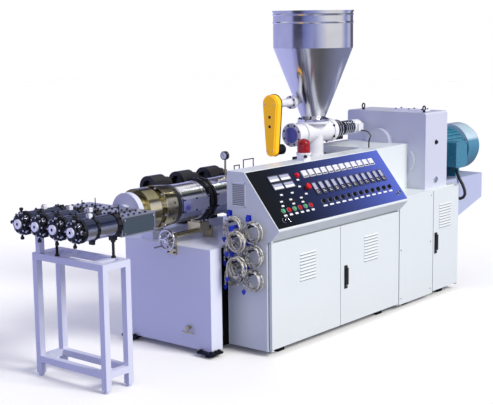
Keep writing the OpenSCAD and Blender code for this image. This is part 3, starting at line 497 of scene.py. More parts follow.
def make_finishes():
    """Every finish by the name of its slot."""
    tint = {key: tuple(getattr(colours(), key)) for key in keys_of(colours())}
    # The gearbox's paint is the lavender darkened as painted shade; the die disc and the arch's top take it
    # too
    pale, drive = tint["pale"], shade(tint["lavender"], DRIVE_PAINTED_SHADE)
    # A painted highlight in pale blue on the upper part of the motor's cowl
    reach = (high("motor_cowl").z - low("motor_cowl").z) / 2
    painted_top_highlight = highlight_above(centre("motor_cowl").z + 0.3 * reach, 0.15 * reach, (0.60, 0.74, 0.80))
    aside = 0.020
    rear_vent = (high("rear_door").x - low("rear_door").x - LOUVRE_WIDE) / 2 - aside
    made = [
        # The base's paint is the pale paint tinted lavender as painted shade
        enamel("lavender_paint", tint["lavender"]),
        enamel("pale_paint", pale),
        enamel("stand_paint", tint["stand"]),
        metal("dark_steel", tint["dark"], 0.34, streak=0.2, stain=0.6),
        enamel("black_paint", tint["black"], 0.34, 0.08).set(Specular_IOR_Level=0.25),
        plastic("black_plastic", tint["black"], 0.35),
        panel_enamel("panel_paint"),
        plastic("white_plastic", tint["white"], 0.25),
        plastic("grey_plastic", tint["grey"], 0.35),
        plastic("green_plastic", tint["green"], 0.2),
        plastic("red_plastic", tint["red"], 0.2),
        plastic("blue_plastic", tint["blue"], 0.3),
        enamel("teal_paint", tint["teal"], 0.28, 0.5),
        enamel("motor_paint", tint["teal"], 0.24, 0.7, painted_top_highlight),
        metal("polished_steel", tint["steel"], 0.10, (0.2, 0.2, 3.0), 0.08),
        ring_brass("ring_brass", tint["brass"]),
        barrel_steel("barrel_steel", tint["steel"]),
        bush_steel("bush_steel", tint["steel"]),
        enamel("drive_paint", drive),
        enamel("plinth_paint", tint["plinth"]),
        enamel("arch_paint", pale, over=painted_above(ARCH_FOOT, drive)),
        # The doors' louvres and the console's side slits carry painted shade in their lines
        enamel("left_door_paint", pale, over=door_slit_shade("control_door_left", 0.332)),
        enamel("right_door_paint", pale, over=door_slit_shade("control_door_right", 0.318)),
        enamel("rear_door_paint", pale, over=door_slit_shade("rear_door", rear_vent)),
        enamel("side_paint", pale, over=side_slit_shade()),
        metal("brass", tint["brass"], 0.14, (3.0, 0.3, 0.3), 0.10, 0.55),
        enamel("white_paint", tint["white"], 0.26, 0.5),
        glowing_enamel("yellow_paint", tint["yellow"]),
        strand_steel("strand_steel", tint["steel"]),
        clear_glass("sight_glass", tint["glass"]),
        metal("bar_steel", tint["bar"], 0.26, (0.1, 3.0, 3.0), 0.14, 0.75),
        woven("cable_grey", tint["braid"]),
        lens_plastic("lens_plastic", tint["red"]),
        enamel("cover_enamel", tint["cover"], 0.4, 0.1),
        plastic("window_plastic", tint["window"], 0.15),
        dull_black("dull_black"),
    ]
    return {finish.slot: finish.material for finish in made}


def material(slot):
    """The finish of a slot, and not the plain colour of the same name that comes with the frame."""
    return bpy.data.materials[OWN + slot]


# Modelling helpers

def deselect():
    bpy.ops.object.select_all(action="DESELECT")


def only(piece):
    """Makes one piece the selected and active one."""
    deselect()
    piece.select_set(True)
    bpy.context.view_layer.objects.active = piece


def named(name):
    """Names the piece that was just added and writes its place into its mesh."""
    piece = bpy.context.object
    piece.name = name
    bpy.ops.object.transform_apply(location=True, rotation=True, scale=True)
    return piece


def opened():
    """Enters edit mode with all of the active piece selected."""
    bpy.ops.object.mode_set(mode="EDIT")
    bpy.ops.mesh.select_all(action="SELECT")


def closed():
    """Leaves edit mode with the active piece's faces turned outwards and shaded smooth."""
    bpy.ops.mesh.select_all(action="SELECT")
    bpy.ops.mesh.normals_make_consistent(inside=False)
    bpy.ops.object.mode_set(mode="OBJECT")
    bpy.ops.object.shade_smooth_by_angle(angle=SMOOTH)


def bevel_rim(piece, height, width, segments=2):
    """Rounds the edges that lie at one height of a piece."""
    near = 1e-5
    only(piece)
    mesh = piece.data
    for part in (*mesh.polygons, *mesh.edges, *mesh.vertices):
        part.select = False
    for edge in mesh.edges:
        edge.select = all(abs(mesh.vertices[i].co.z - height) < near for i in edge.vertices)
    bpy.ops.object.mode_set(mode="EDIT")
    bpy.ops.mesh.select_mode(type="EDGE")
    bpy.ops.mesh.bevel(offset=width, segments=segments, affect="EDGES")
    bpy.ops.object.mode_set(mode="OBJECT")


def turned(name, profile, steps):
    """A turned piece on +Z: rings of (radius, height) drawn out one from another."""
    deselect()
    radius, height = profile[0]
    bpy.ops.mesh.primitive_circle_add(
        vertices=steps, radius=radius, fill_type="NGON", location=(0, 0, height))
    piece = named(name)
    opened()
    for wide, level in profile[1:]:
        bpy.ops.mesh.extrude_region_move(TRANSFORM_OT_translate={"value": (0, 0, level - height)})
        bpy.ops.transform.resize(value=(wide / radius, wide / radius, 1), center_override=(0, 0, level))
        radius, height = wide, level
    closed()
    return piece


def hexagon_bolt(name, radius, height):
    """A washer with a chamfered hexagon head on it, standing on +Z."""
    washer = turned(name, [
        (radius * 1.35, 0), (radius * 1.35, height * 0.18), (radius * 1.28, height * 0.22)], 20)
    deselect()
    bpy.ops.mesh.primitive_cylinder_add(
        vertices=6, radius=radius, depth=height * 0.8, location=(0, 0, height * 0.6))
    head = named("head")
    bevel_rim(head, height, height * 0.12, 1)
    return joined(name, [washer, head])


def cap_screw(name, radius, height):
    """A socket head screw: a round head with a sunk socket."""
    return turned(name, [
        (radius * 0.96, 0), (radius, height * 0.08), (radius, height * 0.88), (radius * 0.9, height),
        (radius * 0.55, height), (radius * 0.5, height * 0.45)], 16)


def joined(name, parts):
    """Joins several pieces into the first."""
    deselect()
    for part in parts:
        part.select_set(True)
    bpy.context.view_layer.objects.active = parts[0]
    if len(parts) > 1:
        bpy.ops.object.join()
    piece = bpy.context.object
    piece.name = name
    piece.data.name = name
    return piece


def facing(point, direction):
    """The placing that stands a piece's +Z along a direction at a point."""
    return Matrix.Translation(point) @ direction.to_track_quat("Z", "Y").to_matrix().to_4x4()


def placed(point, across, up, out):
    """The placing that turns a piece's +X, +Y and +Z to three directions at a point."""
    return Matrix.Translation(point) @ Matrix((across, up, out)).transposed().to_4x4()


def ring(middle, axis, radius, count, start=0.0):
    """Points evenly round a circle about an axis, with the way out from its middle."""
    across = RIGHT if axis == UP else UP
    side = axis.cross(across)
    for i in range(count):
        angle = start + 2 * pi * i / count
        way = across * cos(angle) + side * sin(angle)
        yield Vector(middle) + way * radius, way


def lengthways(middle, axis, *circle):
    """Placings round a circle that stand along its axis."""
    return [facing(point, axis) for point, _ in ring(middle, axis, *circle)]


def outwards(middle, axis, *circle):
    """Placings round a circle that stand out from its middle."""
    return [facing(point, way) for point, way in ring(middle, axis, *circle)]


def spread(name, model, places, slot, body="machine"):
    """Copies a modelled piece to every place and makes one riding piece of the copies."""
    copies = []
    for place in places:
        copy = model.copy()
        copy.data = model.data.copy()
        bpy.context.collection.objects.link(copy)
        copy.data.transform(place)
        copies.append(copy)
    bpy.data.objects.remove(model)
    return finished(joined(name, copies), slot, body)


def finished(piece, slot, body="machine"):
    """Gives a piece its finish and the body that it rides on."""
    piece.data.materials.clear()
    piece.data.materials.append(material(slot))
    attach(piece, body)
    return piece


def plate(name, size, rim, where=(0, 0), turn=0.0):
    """A thin plate on the plane z = 0 with rounded upper edges."""
    deselect()
    bpy.ops.mesh.primitive_cube_add(
        size=1, location=(*where, size[2] / 2), rotation=(0, 0, turn), scale=size)
    piece = named(name)
    bevel_rim(piece, size[2], rim)
    return piece


def dial_marks(size, reach, degrees, pivot=0.0):
    """Thin plates at a distance from a dial's pivot, each in line with it."""
    rim = 0.0002
    return [plate("mark", size, rim, (reach * sin(angle), pivot + reach * cos(angle)), -angle)
            for angle in map(radians, degrees)]


def low(node):
    """The lower corner of a node's box."""
    return Vector(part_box(node)[0])


def high(node):
    """The upper corner of a node's box."""
    return Vector(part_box(node)[1])


def centre(node):
    """The middle of a node's box."""
    return (low(node) + high(node)) / 2


def at(x, y, z):
    """A point measured from the cabinet's left edge, the door faces and the floor."""
    return Vector((low("control_cabinet").x + x, low("console").y + LIP_OUT + y, z))


def along(x):
    """The X of a place at a distance from the cabinet's left edge."""
    return at(x, 0, 0).x


def strands():
    """The four strand lines of the die as their Y places, and their height."""
    first, last = low("die_bushes"), high("die_bushes")
    half = (last.z - first.z) / 2
    pitch = (last.y - first.y - 2 * half) / 3
    return [first.y + half + i * pitch for i in range(4)], (first.z + last.z) / 2


class OnPanel:
    """The sloping face: x along it from the cabinet's edge, s up it from its lower edge."""

    def __init__(self):
        bottom, top = low("control_panel"), high("control_panel")
        thick, inset = 0.004, 0.008
        slope = Vector((0, top.y - bottom.y, top.z - bottom.z)).normalized()
        self.out = Vector((0, -slope.z, slope.y))
        self.up = slope
        self.start = Vector((bottom.x - inset, bottom.y, bottom.z + thick * slope.y)) - slope * inset

    def place(self, x, s, lift=0.0):
        """The placing for a piece that lies on the panel with its +Y up the slope."""
        point = self.start + RIGHT * x + self.up * s + self.out * lift
        return placed(point, RIGHT, self.up, self.out)


# Operators, one for each piece or group of like pieces

class EXTRUDER_OT_camera(bpy.types.Operator):
    """Set the camera where the picture was taken"""
    bl_idname = "extruder.camera"
    bl_label = "Camera"

    def execute(self, context):
        v = view()
        data = bpy.data.cameras.new("picture")
        data.lens = v.lens
        data.sensor_width = 36.0
        data.clip_end = 100.0
        camera = bpy.data.objects.new("picture", data)
        context.collection.objects.link(camera)
        camera.matrix_world = (
            Matrix.Translation(v.eye) @ Matrix.Rotation(v.turn, 4, "Z")
            @ Matrix.Rotation(pi / 2 - v.tilt, 4, "X") @ Matrix.Rotation(v.roll, 4, "Z"))
        context.scene.camera = camera
        return {"FINISHED"}


class EXTRUDER_OT_finishes(bpy.types.Operator):
    """Make every finish and put it on the parts of the machine, some with a finish of their own"""
    bl_idname = "extruder.finishes"
    bl_label = "Finishes"

    def execute(self, context):
        made = make_finishes()
        own = {
            # The gap strip takes near black as painted shade of the deep gap behind it
            "beacon_dome": "lens_plastic", "gap_strip": "dull_black", "die_heaters": "strand_steel",
            "brass_covers": "ring_brass", "die_bushes": "bush_steel", "gearbox": "drive_paint",
            "barrel_heaters": "barrel_steel", "die_disc": "drive_paint", "feeder_drive": "dark_steel",
            "motor_plinth": "plinth_paint", "drive_cover": "arch_paint", "console": "side_paint",
            "control_door_left": "left_door_paint", "control_door_right": "right_door_paint",
            "rear_door": "rear_door_paint", "motor_cowl": "motor_paint", "eyebolts": "dark_steel",
            "vent_handles": "dark_steel"}
        for part in frame["record"]["subparts"]:
            node = part["node"]
            materials = frame["nodes"][node].data.materials
            materials.clear()
            materials.append(made[own.get(node, part["material_slot"])])
        return {"FINISHED"}


class EXTRUDER_OT_leads(bpy.types.Operator):
    """Wind the coiled heater leads that hang on the side wall"""
    bl_idname = "extruder.leads"
    bl_label = "Coiled leads"

    def execute(self, context):
        wall = low("control_cabinet").x
        near = low("console").y + LIP_OUT
        coils = [(0.300, 0.925), (0.122, 0.905), (0.298, 0.750), (0.120, 0.732),
                 (0.296, 0.575), (0.122, 0.560), (0.212, 0.838), (0.210, 0.655)]
        stand_off = [0.012] * 6 + [0.090] * 2
        phase_step = 1.7
        for i, ((y, z), off) in enumerate(zip(coils, stand_off)):
            self.wind(f"heater_lead_{i + 1}", wall - off, near + y, z, phase_step * i)
        return {"FINISHED"}

    def wind(self, name, x, y, z, phase):
        """Winds one lead: down from its gland, round in loose turns, and down to its plug."""
        s = sizes()
        rise, drop = 0.069, 0.074
        per_turn, wander = 24, 0.63
        steps = s.turns * per_turn
        x -= s.lead / 2
        points = [(x, y + s.coil, z + rise * (1 - k / 4)) for k in range(4)]
        for k in range(steps + 1):
            angle = 2 * pi * k / per_turn
            loose = s.slack * sin(pi * k / steps) * sin(wander * angle + phase)
            radius = s.coil + loose
            points.append((x - s.step * k / per_turn, y + radius * cos(angle), z - radius * sin(angle)))
        far_x = x - s.step * s.turns
        points += [(far_x, y + s.coil, z - drop * k / 4) for k in range(1, 5)]
        curve = bpy.data.curves.new(name, "CURVE")
        curve.dimensions = "3D"
        curve.bevel_depth = s.lead / 2
        curve.bevel_resolution = 4
        curve.use_fill_caps = True
        line = curve.splines.new("POLY")
        line.points.add(len(points) - 1)
        for point, spot in zip(line.points, points):
            point.co = (*spot, 1)
        line.use_smooth = True
        cord = bpy.data.objects.new(name, curve)
        bpy.context.collection.objects.link(cord)
        finished(cord, "cable_grey")
        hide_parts("lead_coils", "lead_tails")


class EXTRUDER_OT_panel_fittings(bpy.types.Operator):
    """Put dials, windows, keys, blank labels and bezels on the instrument panel"""
    bl_idname = "extruder.panel_fittings"
    bl_label = "Panel fittings"

    def execute(self, context):
        panel = OnPanel()
        first_zone, zone_step = 0.620, 0.081
        first_button, button_step = 0.156, 0.0656
        zones = [first_zone + zone_step * i for i in range(12)]
        switches = [x + zone_step / 3 for x in zones]
        buttons = [first_button + button_step * i for i in range(6)]
        self.meters(panel, zones)
        self.controllers(panel, switches)
        self.displays(panel)
        self.labels(panel, switches, buttons)
        self.bezels(panel, switches, buttons)
        self.keys(panel)
        return {"FINISHED"}

    def meters(self, panel, zones):
        """A white dial in each meter, with an arc of marks, a needle and a dark lower mask."""
        s, window, thick = 0.3893, 0.008, 0.0012
        dial = plate("model", (0.051, 0.051, thick), 0.0004)
        spread("meter_dials", dial, [panel.place(x, s, window) for x in zones], "white_plastic")
        pivot, reach, lean = -0.014, 0.031, -28
        marks = dial_marks((0.0012, 0.005, 0.0006), reach, range(-45, 46, 15), pivot)
        marks += dial_marks((0.0012, 0.028, 0.0009), reach * 0.45, [lean], pivot)
        marks.append(plate("mask", (0.051, 0.010, 0.0014), 0.0004, (0, -0.0205)))
        spread("meter_marks", joined("model", marks), [
            panel.place(x, s, window + thick) for x in zones], "black_plastic")

    def controllers(self, panel, zones):
        """A pale window above and a dark keypad with keys and a lamp below, in each controller."""
        s, floor = 0.2543, 0.010
        places = [panel.place(x, s, floor) for x in zones]
        spread("controller_windows", plate("model", (0.038, 0.056, 0.0016), 0.0006, (0, 0.018)),
               places, "window_plastic")
        spread("controller_pads", plate("model", (0.039, 0.034, 0.0012), 0.0005, (0, -0.029)),
               places, "black_plastic")
        keys = [plate("key", (0.007, 0.005, 0.0030), 0.0008, (0.010 * k, -0.036)) for k in (-1, 0, 1)]
        keys += [plate("key", (0.020, 0.004, 0.0022), 0.0006, (-0.004, -0.024))]
        spread("controller_keys", joined("model", keys), places, "white_plastic")
        spread("controller_lamps", plate("model", (0.006, 0.004, 0.0026), 0.0008, (0.012, -0.024)),
               places, "red_plastic")

    def displays(self, panel):
        """A grey screen over a bright blank strip in each display."""
        first_x, step_x, first_s, step_s, floor = 0.250, 0.130, 0.3283, 0.066, 0.008
        places = [panel.place(first_x + step_x * i, first_s + step_s * j, floor)
                  for i in (0, 1) for j in (0, 1)]
        spread("display_screens", plate("model", (0.106, 0.020, 0.0012), 0.0004, (0, 0.011)),
               places, "window_plastic")
        spread("display_strips", plate("model", (0.106, 0.020, 0.0016), 0.0004, (0, -0.011)),
               places, "white_plastic")

    def labels(self, panel, switches, buttons):
        """Blank white plates under the switches, buttons and lamps, and three small knobs."""
        thick, rim = sizes().plate, 0.0005
        groups = [(0.241, 0.262), (0.368, 0.262), (0.513, 0.232), (0.199, 0.209), (0.309, 0.212),
                  (0.434, 0.209), (0.186, 0.174), (0.314, 0.176), (0.424, 0.174), (0.488, 0.300),
                  (0.515, 0.356)]
        for name, size, spots in (
                ("switch_labels", (0.048, 0.013, thick), [(x, 0.106) for x in switches]),
                ("button_labels", (0.034, 0.015, thick), [(x, 0.097) for x in buttons]),
                ("group_labels", (0.030, 0.013, thick), groups)):
            spread(name, plate("model", size, rim), [panel.place(x, s) for x, s in spots], "white_plastic")
        knob = turned("model", [
            (0.011, 0), (0.011, 0.006), (0.008, 0.008), (0.007, 0.020), (0.005, 0.022)], 20)
        spread("group_knobs", knob, [panel.place(x, 0.191) for x in (0.192, 0.312, 0.430)], "black_plastic")

    def bezels(self, panel, switches, buttons):
        """Bright rings round the switches and buttons, and a bright fitting at the lower right."""
        rim = turned("model", [(0.0212, 0), (0.0212, 0.0025), (0.0195, 0.0045), (0.0172, 0.0045)], 32)
        spots = [(x, 0.1403) for x in switches] + [(x, 0.134) for x in buttons] + [(0.111, 0.062)]
        spread("panel_bezels", rim, [panel.place(x, s) for x, s in spots], "polished_steel")
        boss = turned("model", [
            (0.017, 0), (0.017, 0.004), (0.010, 0.007), (0.010, 0.016), (0.015, 0.019), (0.015, 0.030),
            (0.011, 0.034)], 28)
        spread("panel_boss", boss, [panel.place(1.596, 0.067)], "polished_steel")

    def keys(self, panel):
        """A flat key in the key switch and a spare one beside it."""
        parts = [plate("bow", (0.017, 0.017, 0.002), 0.0006, (0.012, 0.010), radians(45)),
                 plate("blade", (0.034, 0.006, 0.002), 0.0006, (-0.008, -0.002), radians(30)),
                 plate("spare", (0.006, 0.040, 0.002), 0.0006, (0.022, -0.014), radians(20))]
        spread("panel_keys", joined("model", parts), [panel.place(0.111, 0.062, 0.0265)], "polished_steel")


class EXTRUDER_OT_die_fasteners(bpy.types.Operator):
    """Put the bolts, adjusting knobs, terminals and covers on the four strand die"""
    bl_idname = "extruder.die_fasteners"
    bl_label = "Die fasteners"

    def execute(self, context):
        lines, z = strands()
        self.bolts(lines, z)
        self.knobs(lines, z)
        self.terminals(lines, z)
        self.mouths(lines, z)
        self.covers(lines)
        self.threads(lines)
        return {"FINISHED"}

    def bolts(self, lines, z):
        """Hexagon heads on the flange faces, socket screws on the tips and round the clamp rings."""
        s = sizes()
        flange, tip = along(-1.390), along(-1.420)
        rings = [along(x) for x in (-1.255, -1.080, -1.060)]
        face, tips, round_clamps = [], [], []
        for y in lines:
            face += lengthways((flange, y, z), LEFT, 0.072, 8, pi / 8)
            tips += lengthways((tip, y, z), LEFT, 0.058, 8)
            for x in rings:
                round_clamps += outwards((x, y, z), LEFT, 0.079, 10, pi / 10)
        spread("die_face_bolts", hexagon_bolt("model", s.screw, 0.010), face, "dark_steel")
        spread("die_tip_screws", cap_screw("model", 0.0065, 0.007), tips, "polished_steel")
        spread("die_clamp_screws", cap_screw("model", 0.0065, 0.008), round_clamps, "dark_steel")

    def knobs(self, lines, z):
        """Lock nuts on the adjusting screws all round, and a stout knob on every other one."""
        x, nut_tall, gap = along(-1.399), 0.009, 0.004
        nuts, stout = [], []
        for y in lines:
            for i, (point, way) in enumerate(ring((x, y, z), LEFT, 0.067, 8)):
                nuts.append(facing(point, way))
                if i % 2 == 0:
                    stout.append(facing(point + way * (nut_tall + gap), way))
        spread("die_lock_nuts", hexagon_bolt("model", 0.011, nut_tall), nuts, "polished_steel")
        knob = turned("model", [
            (0.008, 0), (0.008, 0.006), (0.013, 0.010), (0.013, 0.024), (0.009, 0.027)], 14)
        spread("die_adjusting_knobs", knob, stout, "black_paint")

    def terminals(self, lines, z):
        """White ceramic terminal blocks on the tops of the strands, and thin thermometer stems."""
        spots = [(-1.205, 3), (-1.271, 0), (-1.110, 1), (-1.130, 2)]
        strand_radius, post_up, post_aside = 0.072, 0.024, 0.011
        top = z + strand_radius
        blocks = [facing((along(x), lines[i], top), UP) for x, i in spots]
        block = joined("model", [
            plate("block", (0.030, 0.030, 0.026), 0.003), plate("rib", (0.008, 0.028, 0.032), 0.002)])
        spread("die_terminals", block, blocks, "white_plastic")
        posts = [facing((along(x) + side * post_aside, lines[i], top + post_up), UP)
                 for x, i in spots for side in (-1, 1)]
        spread("die_terminal_screws", hexagon_bolt("model", 0.005, 0.006), posts, "brass")
        stem = turned("model", [
            (0.010, 0), (0.010, 0.012), (0.0035, 0.016), (0.0035, 0.070), (0.002, 0.073)], 12)
        spots = [(-1.020, 2), (-0.900, 2), (-1.010, 0)]
        spread("die_stems", stem, [
            facing((along(x), lines[i], high("die_bars").z), UP) for x, i in spots], "dark_steel")

    def mouths(self, lines, z):
        """A near black disc sunk in each exit bush, as painted shade of its bore."""
        sunk = 0.007
        mouth = turned("model", [(0.0096, 0), (0.0096, 0.0055), (0.0080, 0.006), (0.0060, 0.003)], 24)
        spread("die_mouths", mouth, [
            facing((low("die_bushes").x + sunk, y, z), LEFT) for y in lines], "dull_black")

    def covers(self, lines):
        """Dark cover sheets on both outer sides of the feed bars, with screws, and screws on top."""
        first, last = low("die_bars"), high("die_bars")
        size = (last.x - first.x - 0.024, last.z - first.z - 0.020, 0.004)
        top_in, top_step, top_aside = 0.03, 0.052, 0.045
        middle = centre("die_bars")
        sheet = plate("model", size, 0.0015)
        places, screws = [], []
        for y, way in ((first.y, FRONT), (last.y, BACK)):
            place = placed((middle.x, y, middle.z), RIGHT * -way.y, UP, way)
            places.append(place)
            screws += [place @ Matrix.Translation((sx * size[0] * 0.46, sz * size[1] * 0.40, size[2]))
                       for sx in (-1, 1) for sz in (-1, 1)]
        spread("die_bar_covers", sheet, places, "cover_enamel")
        spread("die_cover_screws", cap_screw("model", 0.006, 0.006), screws, "polished_steel")
        tops = [facing((first.x + top_in + top_step * i, y + side * top_aside, last.z), UP)
                for i in range(5) for y in lines for side in (-1, 1)]
        spread("die_bar_screws", cap_screw("model", 0.008, 0.008), tops, "dark_steel")

    def threads(self, lines):
        """Cut threads on the two jack rods."""
        plain = 0.014
        bottom, top = low("jack_rods").z + plain, high("jack_rods").z - plain
        pitch, root, crest = 0.004, 0.0088, 0.0102
        count = int((top - bottom) / pitch)
        profile = [(root if i % 2 == 0 else crest, bottom + i * pitch / 2) for i in range(2 * count)]
        spots = [(-1.070, 0), (-1.255, 2)]
        spread("jack_threads", turned("model", profile, 14), [
            Matrix.Translation((along(x), lines[i], 0)) for x, i in spots], "dark_steel")


class EXTRUDER_OT_barrel_fittings(bpy.types.Operator):
    """Put screws and straps on the barrel, bolts on its brass flange and a dial in its gauge"""
    bl_idname = "extruder.barrel_fittings"
    bl_label = "Barrel fittings"

    def execute(self, context):
        axis = centre("brass_covers")
        self.zones(axis)
        self.flange(axis)
        self.carrier()
        self.gauge()
        return {"FINISHED"}

    def zones(self, axis):
        """Clamp screws, straps and cover screws, alike on the four heated zones."""
        first, pitch, clamp, cover_out = -0.275, 0.36125, 0.29125, 0.150
        clamps, straps, screws = [], [], []
        for x in [first + pitch * i for i in range(4)]:
            for off in (0.0117, 0.0583):
                clamps += outwards((along(x + clamp + off), axis.y, axis.z), LEFT, 0.160, 14)
            straps += [facing((along(x + off), axis.y, axis.z), RIGHT) for off in (0.014, 0.235, 0.265)]
            screws += [facing((along(x + off), axis.y - cover_out, axis.z + up), FRONT)
                       for off in (0.020, 0.145, 0.271) for up in (-0.042, 0.042)]
        spread("clamp_screws", cap_screw("model", 0.0075, 0.009), clamps, "dark_steel")
        strap = turned("model", [(0.139, 0), (0.1425, 0.001), (0.1425, 0.011), (0.139, 0.012)], 64)
        spread("heater_straps", strap, straps, "polished_steel")
        spread("heater_cover_screws", cap_screw("model", 0.006, 0.005), screws, "dark_steel")

    def flange(self, axis):
        """Bolts on the face of the brass flange and sunk screws round its collar."""
        face, collar = along(-0.442), along(-0.357)
        spread("brass_bolts", hexagon_bolt("model", sizes().screw, 0.012), lengthways(
            (face, axis.y, axis.z), LEFT, 0.143, 12, pi / 12), "polished_steel")
        spread("brass_sockets", cap_screw("model", 0.009, 0.004), outwards(
            (collar, axis.y, axis.z), LEFT, 0.151, 8, pi / 3), "black_plastic")

    def carrier(self):
        """Bolts on the brass carrier plate and the hub cap of the handwheel."""
        middle = at(0, 0.700, 0.828)
        face = low("barrel_support").x
        hub_in = 0.088
        spots = [(face, middle.y + side * 0.030, middle.z + up)
                 for side in (-1, 1) for up in (-0.095, -0.060, 0.040)]
        spread("carrier_bolts", cap_screw("model", 0.007, 0.008), [
            facing(spot, LEFT) for spot in spots], "dark_steel")
        hub = turned("model", [
            (0.018, 0), (0.018, 0.006), (0.012, 0.009), (0.012, 0.016), (0.008, 0.019)], 24)
        spread("handwheel_cap", hub, [facing(
            (low("handwheel").x + hub_in, middle.y, middle.z), LEFT)], "polished_steel", "handwheel")

    def gauge(self):
        """A white dial with marks and a needle in the pressure gauge, inside a dark rim."""
        case = 0.032
        face = Vector((low("gauge").x, centre("gauge").y, high("gauge").z - case))
        rim = turned("model", [
            (case + 0.0015, 0), (case + 0.0015, 0.018), (case, 0.020), (case - 0.0035, 0.020),
            (case - 0.004, 0.017)], 36)
        spread("gauge_rim", rim, [facing(face + RIGHT * 0.016, LEFT)], "dark_steel")
        dial = turned("model", [(0.0278, 0), (0.0278, 0.0010), (0.0270, 0.0014)], 36)
        spread("gauge_dial", dial, [facing(face + LEFT * 0.001, LEFT)], "white_plastic")
        reach, lean = 0.022, -40
        marks = dial_marks((0.0014, 0.005, 0.0005), reach, range(-120, 121, 30))
        marks += dial_marks((0.0022, 0.026, 0.0009), reach * 0.35, [lean])
        marks.append(turned("pivot", [(0.0042, 0), (0.0042, 0.0008), (0.0034, 0.0012)], 16))
        spread("gauge_marks", joined("model", marks), [
            placed(face + LEFT * 0.0024, FRONT, UP, LEFT)], "black_plastic")


class EXTRUDER_OT_cabinet_fittings(bpy.types.Operator):
    """Put lock bezels, keyholes, a louvre frame, foot bolts and screws on the cabinets and base"""
    bl_idname = "extruder.cabinet_fittings"
    bl_label = "Cabinet fittings"

    def execute(self, context):
        for node, body in (("control_handle", "control_door_right"), ("rear_handle", "rear_door")):
            self.lock(node, body)
        self.louvre_frame()
        foot_top = 0.040
        feet = [at(-0.276, y, foot_top) for y in (0.325, 0.425, 1.095, 1.195)]
        feet += [at(x, 0.320, foot_top) for x in (-0.235, -0.200)]
        spread("foot_bolts", hexagon_bolt("model", sizes().bolt, 0.014), [
            facing(spot, UP) for spot in feet], "dark_steel")
        corners = [at(x, 0, z) for x in (1.722, 2.190) for z in (0.090, 0.500, 0.900)]
        spread("rear_panel_screws", cap_screw("model", 0.006, 0.004), [
            facing(spot, FRONT) for spot in corners], "polished_steel")
        return {"FINISHED"}

    def lock(self, node, body):
        """A dark bezel behind the lock handle and a bright keyhole in it."""
        first, last = low(node), high(node)
        size = (last.x - first.x + 0.003, last.z - first.z + 0.006, 0.004)
        middle = centre(node)
        spread(node + "_bezel", plate("model", size, 0.0015), [
            placed((middle.x, at(0, 0, 0).y, middle.z), RIGHT, UP, FRONT)], "dark_steel", body)
        hole = turned("model", [
            (0.007, 0), (0.007, 0.003), (0.005, 0.004), (0.002, 0.004), (0.002, 0.001)], 18)
        spot = (middle.x, first.y + 0.014, first.z + 0.020)
        spread(node + "_keyhole", hole, [facing(spot, FRONT)], "polished_steel", body)

    def louvre_frame(self):
        """A raised frame round the slits in the console's side wall."""
        wide, tall, bar, thick, rim = 0.131, 0.176, 0.009, 0.005, 0.0015
        parts = [plate("bar", (wide, bar, thick), rim, (0, side * (tall - bar) / 2)) for side in (-1, 1)]
        parts += [plate("bar", (bar, tall, thick), rim, (side * (wide - bar) / 2, 0)) for side in (-1, 1)]
        spread("louvre_frame", joined("model", parts), [
            placed(at(0, 0.2865, 1.1565), FRONT, UP, LEFT)], "pale_paint")


class EXTRUDER_OT_drive_fittings(bpy.types.Operator):
    """Put bolts, plugs, a cover plate and a rim on the gearbox and motor"""
    bl_idname = "extruder.drive_fittings"
    bl_label = "Drive fittings"

    def execute(self, context):
        self.motor()
        self.gearbox_front()
        self.top_cover()
        self.rim()
        return {"FINISHED"}

    def motor(self):
        """Bolts on the motor's end shield and bell, and screws in the lid of its terminal box."""
        s = sizes()
        axis = centre("motor_cowl")
        shield = lengthways((along(2.660), axis.y, axis.z), LEFT, 0.176, 12)
        bell = outwards((along(2.600), axis.y, axis.z), LEFT, 0.150, 8)
        spread("motor_bolts", hexagon_bolt("model", s.bolt, 0.014), shield, "dark_steel")
        spread("bell_bolts", hexagon_bolt("model", s.screw, 0.008), bell, "dark_steel")
        first, last, edge = low("terminal_box"), high("terminal_box"), 0.018
        lid = [facing((x, first.y, z), FRONT) for x in (first.x + edge, last.x - edge)
               for z in (first.z + edge, last.z - edge)]
        spread("terminal_screws", cap_screw("model", 0.006, 0.006), lid, "polished_steel")

    def gearbox_front(self):
        """An oil plug and a round oil sight on the front of the gearbox."""
        spread("gearbox_plug", hexagon_bolt("model", 0.015, 0.016), [
            facing(at(2.363, 0.060, 1.332), FRONT)], "dark_steel")
        sight = turned("model", [
            (0.026, 0), (0.026, 0.004), (0.023, 0.006), (0.018, 0.006), (0.016, 0.003)], 32)
        spread("gearbox_sight", sight, [facing(at(2.360, 0.054, 1.010), FRONT)], "polished_steel")

    def top_cover(self):
        """A bolted inspection plate on the gearbox."""
        size, bolt_x, bolt_y = (0.124, 0.300, 0.010), 0.046, 0.132
        place = Matrix.Translation(at(2.420, 0.342, low("eyebolts").z))
        spread("gearbox_plate", plate("model", size, 0.003), [place], "lavender_paint")
        bolts = [place @ Matrix.Translation((sx * bolt_x, sy * bolt_y, size[2]))
                 for sx in (-1, 1) for sy in (-1, 0, 1)]
        spread("gearbox_plate_bolts", hexagon_bolt("model", sizes().screw, 0.008), bolts, "dark_steel")

    def rim(self):
        """A raised round rim on the end face of the gearbox, as far as the cover leaves it open."""
        tube, radius, half = 0.008, 0.111, radians(46)
        middle = at(2.186, 0.277, 1.178)
        foot = middle + FRONT * (radius * cos(half)) + DOWN * (radius * sin(half))
        deselect()
        bpy.ops.mesh.primitive_circle_add(vertices=12, radius=tube, location=foot, rotation=(half, 0, 0))
        piece = named("gearbox_rim")
        opened()
        bpy.ops.mesh.spin(steps=16, angle=2 * half, center=middle, axis=RIGHT)
        bpy.ops.mesh.select_all(action="SELECT")
        bpy.ops.mesh.fill_holes(sides=0)
        closed()
        finished(piece, "pale_paint")


